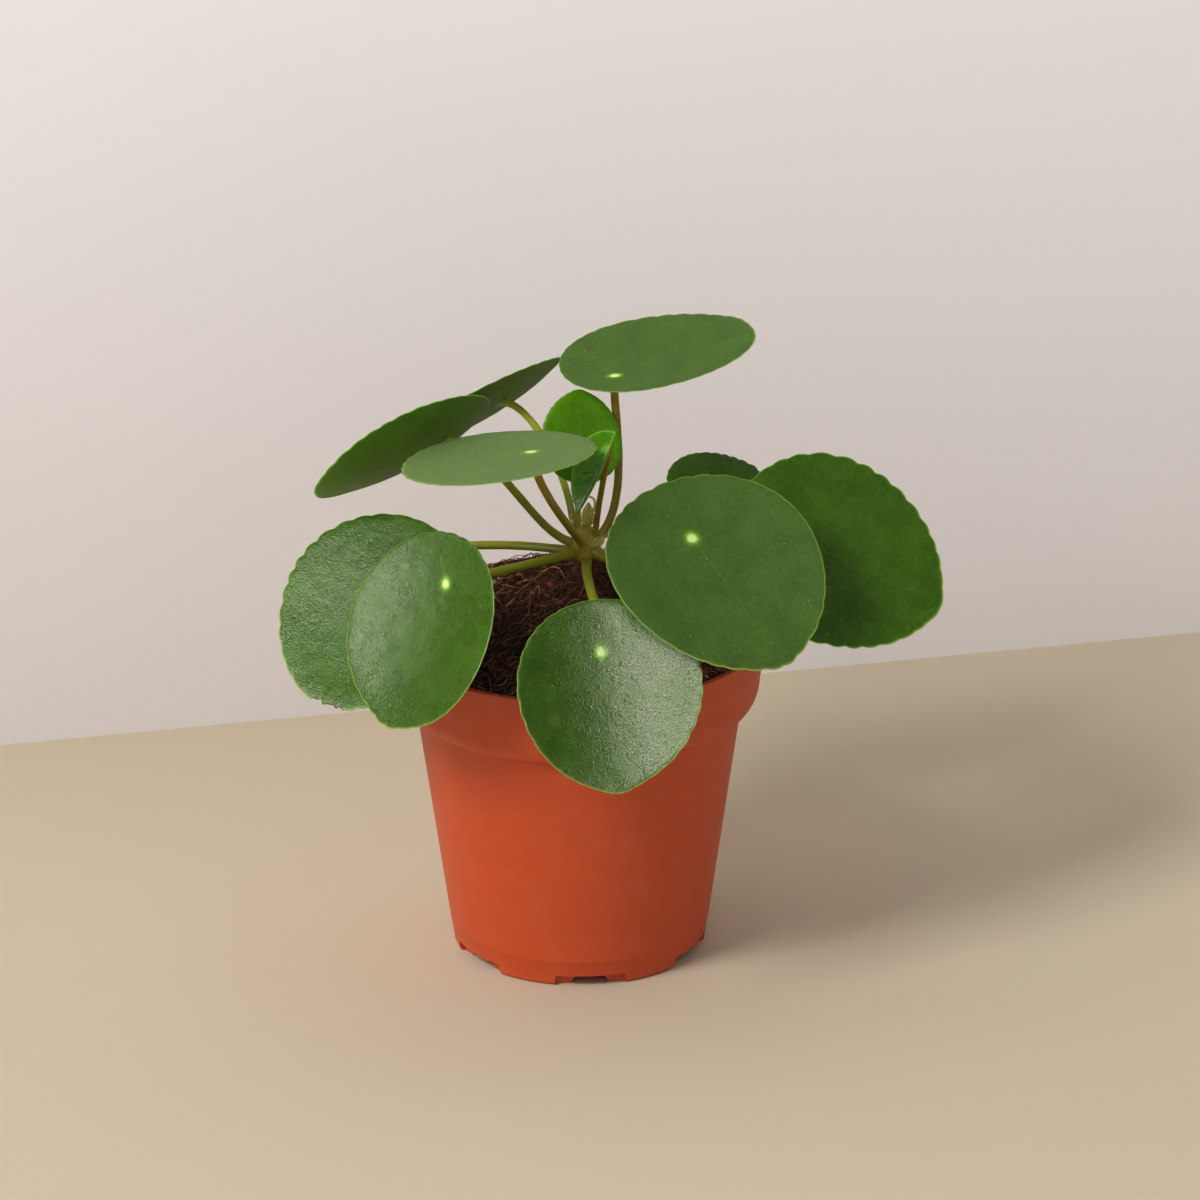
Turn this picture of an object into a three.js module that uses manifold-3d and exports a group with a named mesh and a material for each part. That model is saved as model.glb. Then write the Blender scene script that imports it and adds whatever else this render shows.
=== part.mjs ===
// A young pilea in its plastic nursery pot.
//
// Millimetres, +Z up. The origin is where the pot's axis meets the surface that the pot stands on.
// The front of the plant looks along -Y, and +X is to the right of someone who looks at the front.
//
// The plant is one short woody stem with a crown on top. Twelve round leaves grow from the crown.
// Each leaf is a blade, carried from below on a stalk that meets it inside its edge, at a pale spot.

import * as THREE from 'three';
import { mergeVertices } from 'three/addons/utils/BufferGeometryUtils.js';
import Module from 'manifold-3d';

const wasm = await Module();
wasm.setup();

// Clearance between neighbouring pieces.
const GAP = 0.3;

// Pot: outside sizes.
const POT = {
  height: 95,
  rimRadius: 54, // at the lip
  rimHeight: 22, // depth of the rim band
  rimSlope: 0.2, // how fast the upper band narrows downwards
  rimCurve: 8, // height of the band's rounded lower part
  step: [1.3, 0.4], // the band's lower edge stands out this far, over this height
  lipRound: [0.4, 0.5],
  bodyTopRadius: 46.1, // just under the band
  bodySlope: 0.142,
  ridgeHeight: 7.7, // the body is steeper below this line
  footRadius: 34.4,
  footRound: 1.4,
  wall: 1.2,
  floorHeight: 3.5, // underside of the floor
  floorThickness: 1.5,
  floorCorner: [1.2, 3], // slanted corner between the floor and the wall, inside
  footRingInside: 31.2,
  padRadius: 8, // flat pad under the middle of the floor
  segments: 60,
};

// Drain notches in the foot: a wide shallow recess with a narrower arch through it.
const NOTCH = {
  count: 6,
  firstAngle: -85, // degrees from +X, so one notch is almost at the front
  recessWidth: 20,
  recessHeight: 3.3,
  recessDepth: 1.6,
  archTopWidth: 7.4,
  archFootWidth: 10.8,
  archHeight: 3,
  archCorner: 1,
  archSpread: 0.2, // how much wider, on each side, the arch is where its corners start
  holeRadius: 3.6, // hole in the floor behind each arch
  holeCentre: 24.5,
};

// Soil: a root ball that stands proud of the rim behind the middle.
const SOIL = {
  level: 88.5, // far from the mound
  backward: 0.05, // rise per millimetre towards the back
  moundHeight: 15.5,
  moundCentre: [1, 20],
  moundWidth: 24,
  moundDepth: 22,
  crumb: 0.7, // height of the lumps
  edgeDrop: 4, // its edge is as wide as the pot is this far below the level
  segments: 48,
  rings: 8,
};

// Main stem and the crown that ends it.
const STEM = {
  x: 2,
  y: 14,
  footDepth: 78, // height of its lower end, deep in the soil
  radius: 2.8,
  scarRadius: 3.3, // ring where an old leaf came off
  scarHeight: 106,
  scarWidth: 0.6,
  scarShoulder: 0.7, // from the ring down, and up, to the plain stem
  taper: 6, // length of the narrowed lower end
  neckHeight: 108.5,
  segments: 20,
};
const CROWN = { height: 114, radius: 4.2, halfHeight: 6.5 };

const BLADE_THICKNESS = 0.8;
const SCALLOPS = 32;
const SCALLOP_HEIGHT = 0.28;
const APEX_WIDTH = 13; // degrees of the blunt point at a blade's tip

// Leaves. spot is where the stalk meets the upper face; faces is the upper face's direction; tip is
// the way from the spot to the blade's tip. radius is half the blade's width, and inset is how far
// the spot lies from the blade's middle. cup is how far the sides and the tip rise above the spot.
// taper narrows the tip, apex is its blunt point. The stalk leaves the crown at an azimuth and a
// height angle, and bends past its two via points. base is set where its foot is unusually wide.
const LEAVES = [
  {
    name: 'top',
    spot: [10.5, 20, 163], faces: [-0.11, 0.03, 0.99], tip: [0.78, 0.62, 0.07],
    radius: 28, inset: 16.5, cup: [3, 1.5], taper: 0.08, apex: 0.025,
    from: [24, 24], via: [[16, 19, 126], [9, 25, 154]], stalk: 2.3,
  },
  {
    name: 'upper_front',
    spot: [-13, -18, 155], faces: [-0.11, 0.11, 0.99], tip: [-0.96, -0.28, -0.08],
    radius: 27, inset: 9, cup: [0.7, 0], taper: -0.05, apex: 0.01,
    from: [-108, 28], via: [[1, -1, 122], [-10, -20, 141]], stalk: 2.3,
  },
  {
    name: 'upper_left',
    spot: [-37, 16, 146], faces: [-0.58, 0.47, 0.67], tip: [-0.8, -0.46, -0.38],
    radius: 27.5, inset: 12, cup: [5.5, 4], taper: -0.05, apex: 0.01,
    from: [-172, 18], via: [[-13, 13, 119], [-22, 11, 144]], stalk: 2.3,
  },
  {
    name: 'back',
    spot: [-21.5, 39, 148.5], faces: [-0.53, 0.46, 0.71], tip: [-0.59, 0.4, -0.7],
    radius: 27, inset: 9, cup: [4, 3.5], taper: 0.05, apex: 0.03,
    from: [142, 35], via: [[-2, 24, 131], [-13, 32, 150]], stalk: 2,
  },
  {
    name: 'young',
    spot: [1.5, 8, 141], faces: [0.5, -0.74, 0.46], tip: [-0.09, 0.48, 0.87],
    radius: 13, inset: 7.5, cup: [0.5, 0.7], taper: 0.12, apex: 0.04,
    from: [130, 62], via: [[0, 20, 126], [-2, 15, 138]], stalk: 1.4,
  },
  {
    name: 'folded',
    spot: [8.5, 0, 148.5], faces: [-0.6, -0.7, 0.4], tip: [-0.45, -0.3, -0.85],
    radius: 4.8, length: 12, inset: 6.5, cup: [6.5, 1], fold: 1.2, taper: 0.25, apex: 0.08,
    from: [-28, 52], via: [[5, 9, 125], [8, 7, 142]], stalk: 1.7,
  },
  {
    name: 'far_left',
    spot: [-53.1, -9, 116.7], faces: [-0.48, -0.62, 0.61], tip: [-0.37, -0.49, -0.79],
    radius: 29.4, inset: 13.5, cup: [2, 0], taper: 0.083, apex: 0.01,
    from: [170, -25], via: [[-20, 20, 113], [-48, 5, 119]], stalk: 2.4,
  },
  {
    name: 'near_left',
    spot: [-36.4, -37, 123.6], faces: [-0.67, -0.58, 0.46], tip: [-0.37, -0.27, -0.89],
    radius: 27.7, inset: 14.1, cup: [3.8, 0.3], taper: -0.017, apex: 0.045,
    from: [-135, -14], via: [[-15, 1, 113], [-31, -24, 120]], stalk: 2.5,
  },
  {
    name: 'front',
    spot: [6.3, -52, 109.2], faces: [0.26, -0.87, 0.43], tip: [0.12, -0.41, -0.9],
    radius: 26.3, inset: 11.8, cup: [5.6, 0.5], taper: 0.075, apex: 0.05,
    from: [-84, -45], via: [[1, -3, 109], [13, -38, 98]], stalk: 2.6,
  },
  {
    name: 'right',
    spot: [31.6, -26, 132.3], faces: [0.26, -0.55, 0.79], tip: [0.56, -0.58, -0.59],
    radius: 31.6, inset: 13, cup: [2.9, 0.1], taper: 0.1, apex: 0.04,
    from: [-42, -12], via: [[14, 2, 111], [31, -21, 118]], stalk: 2.7, base: 0.45,
  },
  {
    name: 'far_right',
    spot: [59.8, 2, 121.8], faces: [0.28, -0.55, 0.79], tip: [0.9, -0.14, -0.42],
    radius: 31.9, inset: 13.6, cup: [2.3, 0.1], taper: 0.106, apex: 0.038,
    from: [15, -34], via: [[20, 19, 106], [62, 10, 107]], stalk: 2.4,
  },
  {
    name: 'back_right',
    spot: [39, 40, 119.5], faces: [0.21, -0.35, 0.91], tip: [0.53, 0.82, 0.2],
    radius: 16, inset: 4.5, cup: [-1, -1.5], taper: 0.04, apex: 0.03,
    from: [58, 0], via: [[11, 28, 115], [39, 48, 109]], stalk: 1.9,
  },
];
const STALK_SIDES = 8;
const STALK_STEPS = 11;
const STALK_BASE = { flare: 0.2, reach: 4 }; // how much wider than the stalk, and how far up
const STALK_HEAD = { flare: 0.5, reach: 1.8 };
const STALK_SETTLE = 2.5; // over this length the tube's section turns to lie flat at its two ends

// Papery scales round the crown: where each sits, its width, its length, and by how many degrees
// it leans away from the crown. Each stands on its foot, clear of the crown's skin.
const SCALES = [
  { name: 'stipule_right', at: [-46, 20], width: 5, length: 4, lean: 24 },
  { name: 'stipule_left', at: [-164, 52], width: 3, length: 5.4, lean: 24 },
  { name: 'stipule_collar', at: [-98, 0], width: 3.4, length: 3, lean: 64 },
];
const SCALE_THICKNESS = 0.6;
const SCALE_CURVE = 0.6; // how far the middle of a scale bulges outwards
const SCALE_CLEARANCE = 0.6; // from the crown to the foot's back face
const SCALE_COLUMNS = [-1, -0.5, 0, 0.5, 1];
const SCALE_ROWS = [0, 0.35, 0.7, 0.95];
const SCALE_NARROWING = 0.85; // how much of the squared width is gone at the tip

// Bud on top of the crown, in a sheath that ends in a thin hook. The widths are shares of the
// bud's radius at shares of its height; the hook's path starts inside the bud.
const BUD = {
  x: 2.7,
  y: 13,
  radius: 1.8,
  height: 6.8,
  lean: [0.3, -0.4],
  segments: 12,
  widths: [[0, 0.7], [0.15, 1], [0.45, 1], [0.7, 0.75], [0.9, 0.35]],
};
const HOOK = {
  radius: 0.5,
  tipRadius: 0.3,
  rings: 5,
  sides: 6,
  path: [[0.9, 0, 3.5], [2.1, 0, 5.2], [1.9, 0.1, 7.4], [0.5, 0.1, 8.4]],
};

const COLOURS = {
  pot: '#b9502c',
  soil: '#3a2417',
  stem: '#6b4a35',
  papery: '#c9bd8e',
  bud: '#a9a765',
  bladeDark: '#2f5a26',
  bladeYoung: '#4c8a1c',
  stalkGreen: '#7d8f35',
  stalkBrown: '#6e6228',
};
const YOUNG = ['young', 'folded'];
const BROWN_STALKS = ['top', 'upper_front', 'folded'];

const rad = THREE.MathUtils.degToRad;
const vec = (p) => new THREE.Vector3(...p);

// The same numbers in the same order on every run.
function seeded(seed) {
  let state = seed;
  return () => {
    state = (state * 16807) % 2147483647;
    return state / 2147483647;
  };
}

function geometryFrom(points, faces) {
  const geometry = new THREE.BufferGeometry();
  geometry.setAttribute('position', new THREE.Float32BufferAttribute(points.flat(), 3));
  geometry.setIndex(faces.flat());
  geometry.computeVertexNormals();
  return geometry;
}

function toSolid(geometry) {
  const bare = geometry.clone();
  bare.deleteAttribute('normal');
  bare.deleteAttribute('uv');
  const merged = mergeVertices(bare, 1e-4);
  return new wasm.Manifold(new wasm.Mesh({
    numProp: 3,
    vertProperties: new Float32Array(merged.attributes.position.array),
    triVerts: new Uint32Array(merged.index.array),
  }));
}

function fromSolid(solid) {
  const mesh = solid.getMesh();
  const geometry = new THREE.BufferGeometry();
  geometry.setAttribute('position', new THREE.BufferAttribute(mesh.vertProperties, 3));
  geometry.setIndex(new THREE.BufferAttribute(mesh.triVerts, 1));
  geometry.computeVertexNormals();
  return geometry;
}

// Closed solid through rings of equally many points, each end closed by a fan to its middle.
function skin(rings, firstMiddle, lastMiddle) {
  const n = rings[0].length;
  const points = rings.flat();
  const faces = [];
  for (let r = 0; r + 1 < rings.length; r += 1) {
    for (let i = 0; i < n; i += 1) {
      const next = (i + 1) % n;
      const a = r * n + i;
      const b = r * n + next;
      faces.push([a, b, b + n], [a, b + n, a + n]);
    }
  }
  const first = points.push(firstMiddle) - 1;
  const last = points.push(lastMiddle) - 1;
  const top = (rings.length - 1) * n;
  for (let i = 0; i < n; i += 1) {
    const next = (i + 1) % n;
    faces.push([first, next, i], [last, top + i, top + next]);
  }
  return geometryFrom(points, faces);
}

const group = new THREE.Group();

function addPiece(name, geometry, colour, roughness) {
  const material = new THREE.MeshStandardMaterial({ color: colour, roughness, metalness: 0 });
  const mesh = new THREE.Mesh(geometry, material);
  mesh.name = name;
  group.add(mesh);
  return mesh;
}

// ---------- pot ----------

const rimFoot = POT.height - POT.rimHeight;
const shoulder = rimFoot + 3.4; // inside, half-way round the band's curve
const bodyRadius = (z) => POT.bodyTopRadius - (rimFoot - z) * POT.bodySlope;

// Outside of the pot from the foot up, as [radius, height].
function outsideProfile() {
  const curveTop = rimFoot + POT.rimCurve;
  const bandRadius = (z) => POT.rimRadius - (POT.height - z) * POT.rimSlope;
  const [stepOut, stepUp] = POT.step;
  const [lipIn, lipDown] = POT.lipRound;
  const stepRadius = POT.bodyTopRadius + stepOut;
  const profile = [
    [POT.footRadius, 0],
    [POT.footRadius + 0.7 * POT.footRound, 0.3 * POT.footRound],
    [POT.footRadius + POT.footRound, POT.footRound],
    [bodyRadius(POT.ridgeHeight), POT.ridgeHeight],
    [POT.bodyTopRadius, rimFoot],
    [stepRadius, rimFoot + stepUp],
  ];
  const bulge = bandRadius(curveTop) - stepRadius;
  for (const turn of [30, 60, 90]) {
    profile.push([
      stepRadius + bulge * Math.sin(rad(turn)),
      rimFoot + stepUp + (POT.rimCurve - stepUp) * (1 - Math.cos(rad(turn))),
    ]);
  }
  profile.push([POT.rimRadius, POT.height - lipDown], [POT.rimRadius - lipIn, POT.height]);
  return profile;
}

function innerRadius(z) {
  const outside = outsideProfile();
  const above = outside.findIndex((p) => p[1] >= z);
  const [r0, z0] = outside[above - 1];
  const [r1, z1] = outside[above];
  return r0 + ((r1 - r0) * (z - z0)) / (z1 - z0) - POT.wall;
}

function potGeometry() {
  const floorTop = POT.floorHeight + POT.floorThickness;
  const [cornerIn, cornerUp] = POT.floorCorner;
  const heights = [rimFoot + POT.rimCurve, shoulder, rimFoot + 0.9, floorTop + cornerUp];
  const inside = heights.map((z) => [innerRadius(z), z]);
  const lipInside = POT.rimRadius - POT.lipRound[0] - POT.wall;
  const profile = [
    [0, 0],
    [POT.padRadius, 0],
    [POT.padRadius, POT.floorHeight],
    [POT.footRingInside, POT.floorHeight],
    [POT.footRingInside, 0],
    ...outsideProfile(),
    [lipInside, POT.height],
    ...inside,
    [innerRadius(floorTop) - cornerIn, floorTop],
    [0, floorTop],
  ];
  const lathe = new THREE.LatheGeometry(profile.map((p) => new THREE.Vector2(...p)), POT.segments);
  lathe.rotateX(Math.PI / 2);
  return lathe;
}

// A bar that points outwards at the given angle, with its section drawn in width and height.
function radialCutter(shape, from, to, angle) {
  const cutter = new THREE.ExtrudeGeometry(shape, { depth: to - from, bevelEnabled: false });
  cutter.rotateX(Math.PI / 2);
  cutter.rotateZ(Math.PI);
  cutter.translate(0, from, 0);
  cutter.rotateZ(rad(angle - 90));
  return toSolid(cutter);
}

function archShape() {
  const shape = new THREE.Shape();
  const top = NOTCH.archTopWidth / 2;
  const foot = NOTCH.archFootWidth / 2;
  const corner = NOTCH.archCorner;
  shape.moveTo(-foot, -1);
  shape.lineTo(foot, -1);
  shape.lineTo(foot, 0);
  shape.lineTo(top + NOTCH.archSpread, NOTCH.archHeight - corner);
  shape.lineTo(top - corner, NOTCH.archHeight);
  shape.lineTo(corner - top, NOTCH.archHeight);
  shape.lineTo(-top - NOTCH.archSpread, NOTCH.archHeight - corner);
  shape.lineTo(-foot, 0);
  return shape;
}

function recessShape() {
  const shape = new THREE.Shape();
  const half = NOTCH.recessWidth / 2;
  shape.moveTo(-half, -1);
  shape.lineTo(half, -1);
  shape.lineTo(half, NOTCH.recessHeight);
  shape.lineTo(-half, NOTCH.recessHeight);
  return shape;
}

function buildPot() {
  let solid = toSolid(potGeometry());
  const through = 8; // far more than the floor's thickness
  const hole = new THREE.CylinderGeometry(NOTCH.holeRadius, NOTCH.holeRadius, through, 16);
  hole.rotateX(Math.PI / 2);
  hole.translate(NOTCH.holeCentre, 0, POT.floorHeight);
  const recessFloor = POT.footRadius - NOTCH.recessDepth;
  const wellOutside = POT.footRadius + 5;
  const wellInside = POT.footRingInside - 1;
  for (let i = 0; i < NOTCH.count; i += 1) {
    const angle = NOTCH.firstAngle + (360 / NOTCH.count) * i;
    solid = solid.subtract(radialCutter(recessShape(), recessFloor, wellOutside, angle));
    solid = solid.subtract(radialCutter(archShape(), wellInside, POT.footRadius, angle));
    solid = solid.subtract(toSolid(hole.clone().rotateZ(rad(angle))));
  }
  addPiece('pot', fromSolid(solid), COLOURS.pot, 0.45);
}

// ---------- soil ----------

function soilHeight(x, y, random) {
  const [mx, my] = SOIL.moundCentre;
  const across = ((x - mx) / SOIL.moundWidth) ** 2;
  const along = ((y - my) / SOIL.moundDepth) ** 2;
  const mound = SOIL.moundHeight * Math.exp(-(across + along) / 2);
  return SOIL.level + SOIL.backward * y + mound + SOIL.crumb * (2 * random() - 1);
}

function buildSoil() {
  const random = seeded(11);
  const n = SOIL.segments;
  const circle = (radius, height) => Array.from({ length: n }, (_, i) => {
    const angle = (2 * Math.PI * i) / n;
    const x = radius * Math.cos(angle);
    const y = radius * Math.sin(angle);
    return [x, y, height(x, y)];
  });
  const bottom = POT.floorHeight + POT.floorThickness + GAP;
  const rings = [];
  const [cornerIn, cornerUp] = POT.floorCorner;
  rings.push(circle(innerRadius(bottom) - GAP - cornerIn - 0.1, () => bottom));
  // The soil's side follows the pot's wall, and past the step the widening rim, to its own edge.
  for (const z of [bottom + cornerUp, rimFoot, shoulder]) {
    rings.push(circle(innerRadius(z) - GAP, () => z));
  }
  const edge = innerRadius(SOIL.level - SOIL.edgeDrop) - GAP;
  for (let r = SOIL.rings; r >= 1; r -= 1) {
    const lumps = r === SOIL.rings ? () => 0.3 : random; // the edge itself is level
    const radius = (edge * r) / SOIL.rings;
    rings.push(circle(radius, (x, y) => soilHeight(x, y, lumps)));
  }
  const solid = toSolid(skin(rings, [0, 0, bottom], [0, 0, soilHeight(0, 0, () => 0.5)]));
  const holeRadius = STEM.scarRadius + GAP;
  const holeHeight = 60; // well past the mound
  const hole = new THREE.CylinderGeometry(holeRadius, holeRadius, holeHeight, STEM.segments);
  hole.rotateX(Math.PI / 2);
  hole.translate(STEM.x, STEM.y, STEM.footDepth - GAP + holeHeight / 2);
  addPiece('soil', fromSolid(solid.subtract(toSolid(hole))), COLOURS.soil, 0.95);
}

// ---------- stem, crown and scales ----------

const crownMiddle = new THREE.Vector3(STEM.x, STEM.y, CROWN.height);

// The point of the crown at an azimuth and a height angle, and the crown's normal there.
function onCrown([azimuth, elevation]) {
  const level = Math.cos(rad(elevation));
  const way = new THREE.Vector3(
    level * Math.cos(rad(azimuth)),
    level * Math.sin(rad(azimuth)),
    Math.sin(rad(elevation)),
  );
  const size = new THREE.Vector3(CROWN.radius, CROWN.radius, CROWN.halfHeight);
  const reach = 1 / way.clone().divide(size).length();
  const point = way.clone().multiplyScalar(reach);
  const normal = point.clone().divide(size).divide(size).normalize();
  return { point: point.add(crownMiddle), normal };
}

function buildStem() {
  const halfScar = STEM.scarWidth / 2;
  const profile = [
    [0, STEM.footDepth],
    [STEM.radius * 0.7, STEM.footDepth],
    [STEM.radius, STEM.footDepth + STEM.taper],
    [STEM.radius, STEM.scarHeight - halfScar - STEM.scarShoulder],
    [STEM.scarRadius, STEM.scarHeight - halfScar],
    [STEM.scarRadius, STEM.scarHeight + halfScar],
    [STEM.radius, STEM.scarHeight + halfScar + STEM.scarShoulder],
    [STEM.radius, STEM.neckHeight],
  ];
  for (let elevation = -45; elevation <= 90; elevation += 22.5) {
    profile.push([
      CROWN.radius * Math.cos(rad(elevation)),
      CROWN.height + CROWN.halfHeight * Math.sin(rad(elevation)),
    ]);
  }
  profile[profile.length - 1][0] = 0;
  const lathe = new THREE.LatheGeometry(profile.map((p) => new THREE.Vector2(...p)), STEM.segments);
  lathe.rotateX(Math.PI / 2);
  const stem = addPiece('main_stem', fromSolid(toSolid(lathe)), COLOURS.stem, 0.8);
  stem.position.set(STEM.x, STEM.y, 0);
}

// The bud and its hook are one body: the hook starts inside the bud.
function buildBud() {
  const circle = ([share, width]) => Array.from({ length: BUD.segments }, (_, i) => {
    const angle = (2 * Math.PI * i) / BUD.segments;
    return [
      BUD.radius * width * Math.cos(angle) + BUD.lean[0] * share ** 2,
      BUD.radius * width * Math.sin(angle) + BUD.lean[1] * share ** 2,
      BUD.height * share,
    ];
  });
  const body = skin(BUD.widths.map(circle), [0, 0, 0], [...BUD.lean, BUD.height]);
  const curve = new THREE.CatmullRomCurve3(HOOK.path.map(vec));
  const hookRings = Array.from({ length: HOOK.rings }, (_, ring) => {
    const share = ring / (HOOK.rings - 1);
    const place = curve.getPointAt(share);
    const along = curve.getTangentAt(share);
    const side = new THREE.Vector3(0, 1, 0);
    const other = new THREE.Vector3().crossVectors(along, side).normalize();
    const radius = HOOK.radius + (HOOK.tipRadius - HOOK.radius) * share;
    return Array.from({ length: HOOK.sides }, (__, i) => {
      const turn = (2 * Math.PI * i) / HOOK.sides;
      return place.clone()
        .addScaledVector(side, radius * Math.cos(turn))
        .addScaledVector(other, radius * Math.sin(turn))
        .toArray();
    });
  });
  const hook = skin(hookRings, HOOK.path[0], HOOK.path[HOOK.path.length - 1]);
  const bud = addPiece('bud', fromSolid(toSolid(body).add(toSolid(hook))), COLOURS.bud, 0.7);
  bud.position.set(BUD.x, BUD.y, CROWN.height + CROWN.halfHeight + GAP);
}

// One scale: a small curved shell that stands on the crown, leans outwards and narrows to its tip.
function buildScale({ name, at, width, length, lean }) {
  const { point, normal } = onCrown(at);
  const level = new THREE.Vector3(0, 0, 1).addScaledVector(normal, -normal.z).normalize();
  const side = new THREE.Vector3().crossVectors(level, normal);
  const turn = new THREE.Quaternion().setFromAxisAngle(side, rad(lean));
  const up = level.clone().applyQuaternion(turn);
  const out = normal.clone().applyQuaternion(turn);
  const foot = point.clone().addScaledVector(normal, SCALE_CLEARANCE);
  const sheet = (row, depth) => SCALE_COLUMNS.map((column) => {
    const x = (width / 2) * Math.sqrt(1 - SCALE_NARROWING * row * row) * column;
    const z = depth + (1 - (2 * x / width) ** 2) * SCALE_CURVE;
    return foot.clone().addScaledVector(side, x).addScaledVector(up, length * row)
      .addScaledVector(out, z).toArray();
  });
  const rings = SCALE_ROWS
    .map((row) => [...sheet(row, SCALE_THICKNESS), ...sheet(row, 0).reverse()]);
  const centre = (SCALE_COLUMNS.length - 1) / 2;
  const opposite = 2 * SCALE_COLUMNS.length - 1 - centre;
  const middle = (ring) => vec(ring[centre]).add(vec(ring[opposite])).multiplyScalar(0.5).toArray();
  const geometry = skin(rings, middle(rings[0]), middle(rings[rings.length - 1]));
  addPiece(name, geometry, COLOURS.papery, 0.8);
}

// ---------- leaves ----------

// A leaf's own frame: x across the blade, y to its tip, z out of its upper face, from the spot.
function leafFrame(leaf) {
  const out = vec(leaf.faces).normalize();
  const ahead = vec(leaf.tip).addScaledVector(out, -vec(leaf.tip).dot(out)).normalize();
  const across = new THREE.Vector3().crossVectors(ahead, out);
  return { across, ahead, out };
}

// A point of the blade's upper face: share is 0 at the spot and 1 at the edge.
function bladePoint(leaf, turn, share, scallop) {
  const length = leaf.length ?? leaf.radius;
  const fromTip = Math.abs(Math.atan2(Math.sin(turn - Math.PI / 2), Math.cos(turn - Math.PI / 2)));
  const apex = leaf.apex * Math.exp(-((fromTip / rad(APEX_WIDTH)) ** 2));
  const reach = 1 + apex + scallop / leaf.radius;
  const x = leaf.radius * Math.cos(turn) * (1 - leaf.taper * Math.sin(turn)) * reach * share;
  const y = (leaf.inset + length * Math.sin(turn) * reach) * share;
  const fold = leaf.fold ?? 2;
  const rise = leaf.cup[0] * Math.abs(x / leaf.radius) ** fold + leaf.cup[1] * (y / length) ** 2;
  return [x, y, rise];
}

// Rings of 1, 1/2 and 1/4 as many points as the edge has, so the mesh is fine only at the edge.
function buildBlade(leaf) {
  const edge = 2 * SCALLOPS;
  const rings = [[1, edge], [0.62, edge / 2], [0.3, edge / 4]];
  const points = [];
  const starts = [];
  for (const [share, count] of rings) {
    starts.push(points.length);
    for (let i = 0; i < count; i += 1) {
      const scallop = count === edge ? SCALLOP_HEIGHT * (i % 2 === 0 ? -1 : 1) : 0;
      points.push(bladePoint(leaf, (2 * Math.PI * i) / count, share, scallop));
    }
  }
  const spot = points.push([0, 0, 0]) - 1;
  const faces = [];
  for (let r = 0; r + 1 < rings.length; r += 1) {
    const count = rings[r + 1][1];
    for (let i = 0; i < count; i += 1) {
      const inner = starts[r + 1] + i;
      const innerNext = starts[r + 1] + ((i + 1) % count);
      const outer = starts[r] + 2 * i;
      const outerNext = starts[r] + ((2 * i + 2) % (2 * count));
      faces.push([inner, outer, outer + 1], [inner, outer + 1, innerNext]);
      faces.push([innerNext, outer + 1, outerNext]);
    }
  }
  const innermost = rings[rings.length - 1][1];
  for (let i = 0; i < innermost; i += 1) {
    const start = starts[rings.length - 1];
    faces.push([spot, start + i, start + ((i + 1) % innermost)]);
  }
  const under = points.length;
  const lower = points.map(([x, y, z]) => [x, y, z - BLADE_THICKNESS]);
  const lowerFaces = faces.map(([a, b, c]) => [a + under, c + under, b + under]);
  const wall = [];
  for (let i = 0; i < edge; i += 1) {
    const next = (i + 1) % edge;
    wall.push([i, i + under, next + under], [i, next + under, next]);
  }
  const geometry = geometryFrom([...points, ...lower], [...faces, ...lowerFaces, ...wall]);
  const colour = YOUNG.includes(leaf.name) ? COLOURS.bladeYoung : COLOURS.bladeDark;
  const blade = addPiece(`blade_${leaf.name}`, geometry, colour, 0.45);
  const { across, ahead, out } = leafFrame(leaf);
  blade.quaternion.setFromRotationMatrix(new THREE.Matrix4().makeBasis(across, ahead, out));
  blade.position.set(...leaf.spot);
}

// The stalk is a bent tube, wider where it leaves the crown and where it meets the blade. Its two
// end rings lie flat against the crown and against the blade's underside.
function buildStalk(leaf) {
  const start = onCrown(leaf.from);
  const { out } = leafFrame(leaf);
  const first = start.point.clone().addScaledVector(start.normal, GAP);
  const last = vec(leaf.spot).addScaledVector(out, -BLADE_THICKNESS - GAP);
  const curve = new THREE.CubicBezierCurve3(first, vec(leaf.via[0]), vec(leaf.via[1]), last);
  const length = curve.getLength();
  const reference = new THREE.Vector3(0, 1, 0);
  let side = new THREE.Vector3().crossVectors(start.normal, reference).normalize();
  const rings = [];
  for (let s = 0; s < STALK_STEPS; s += 1) {
    const share = 0.5 - 0.5 * Math.cos((Math.PI * s) / (STALK_STEPS - 1));
    const place = curve.getPointAt(share);
    const normal = curve.getTangentAt(share)
      .lerp(start.normal, Math.exp((-share * length) / STALK_SETTLE))
      .lerp(out, Math.exp(((share - 1) * length) / STALK_SETTLE))
      .normalize();
    side.addScaledVector(normal, -side.dot(normal)).normalize();
    const other = new THREE.Vector3().crossVectors(normal, side);
    const flare = (leaf.base ?? STALK_BASE.flare) * Math.exp((-share * length) / STALK_BASE.reach)
      + STALK_HEAD.flare * Math.exp((-(1 - share) * length) / STALK_HEAD.reach);
    const radius = (leaf.stalk / 2) * (1 + flare);
    rings.push(Array.from({ length: STALK_SIDES }, (_, i) => {
      const turn = (2 * Math.PI * i) / STALK_SIDES;
      return place.clone()
        .addScaledVector(side, radius * Math.cos(turn))
        .addScaledVector(other, radius * Math.sin(turn))
        .toArray();
    }));
  }
  const geometry = skin(rings, first.toArray(), last.toArray());
  const colour = BROWN_STALKS.includes(leaf.name) ? COLOURS.stalkBrown : COLOURS.stalkGreen;
  addPiece(`stalk_${leaf.name}`, geometry, colour, 0.5);
}

buildPot();
buildSoil();
buildStem();
buildBud();
SCALES.forEach(buildScale);
LEAVES.forEach(buildStalk);
LEAVES.forEach(buildBlade);

export default group;
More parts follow.
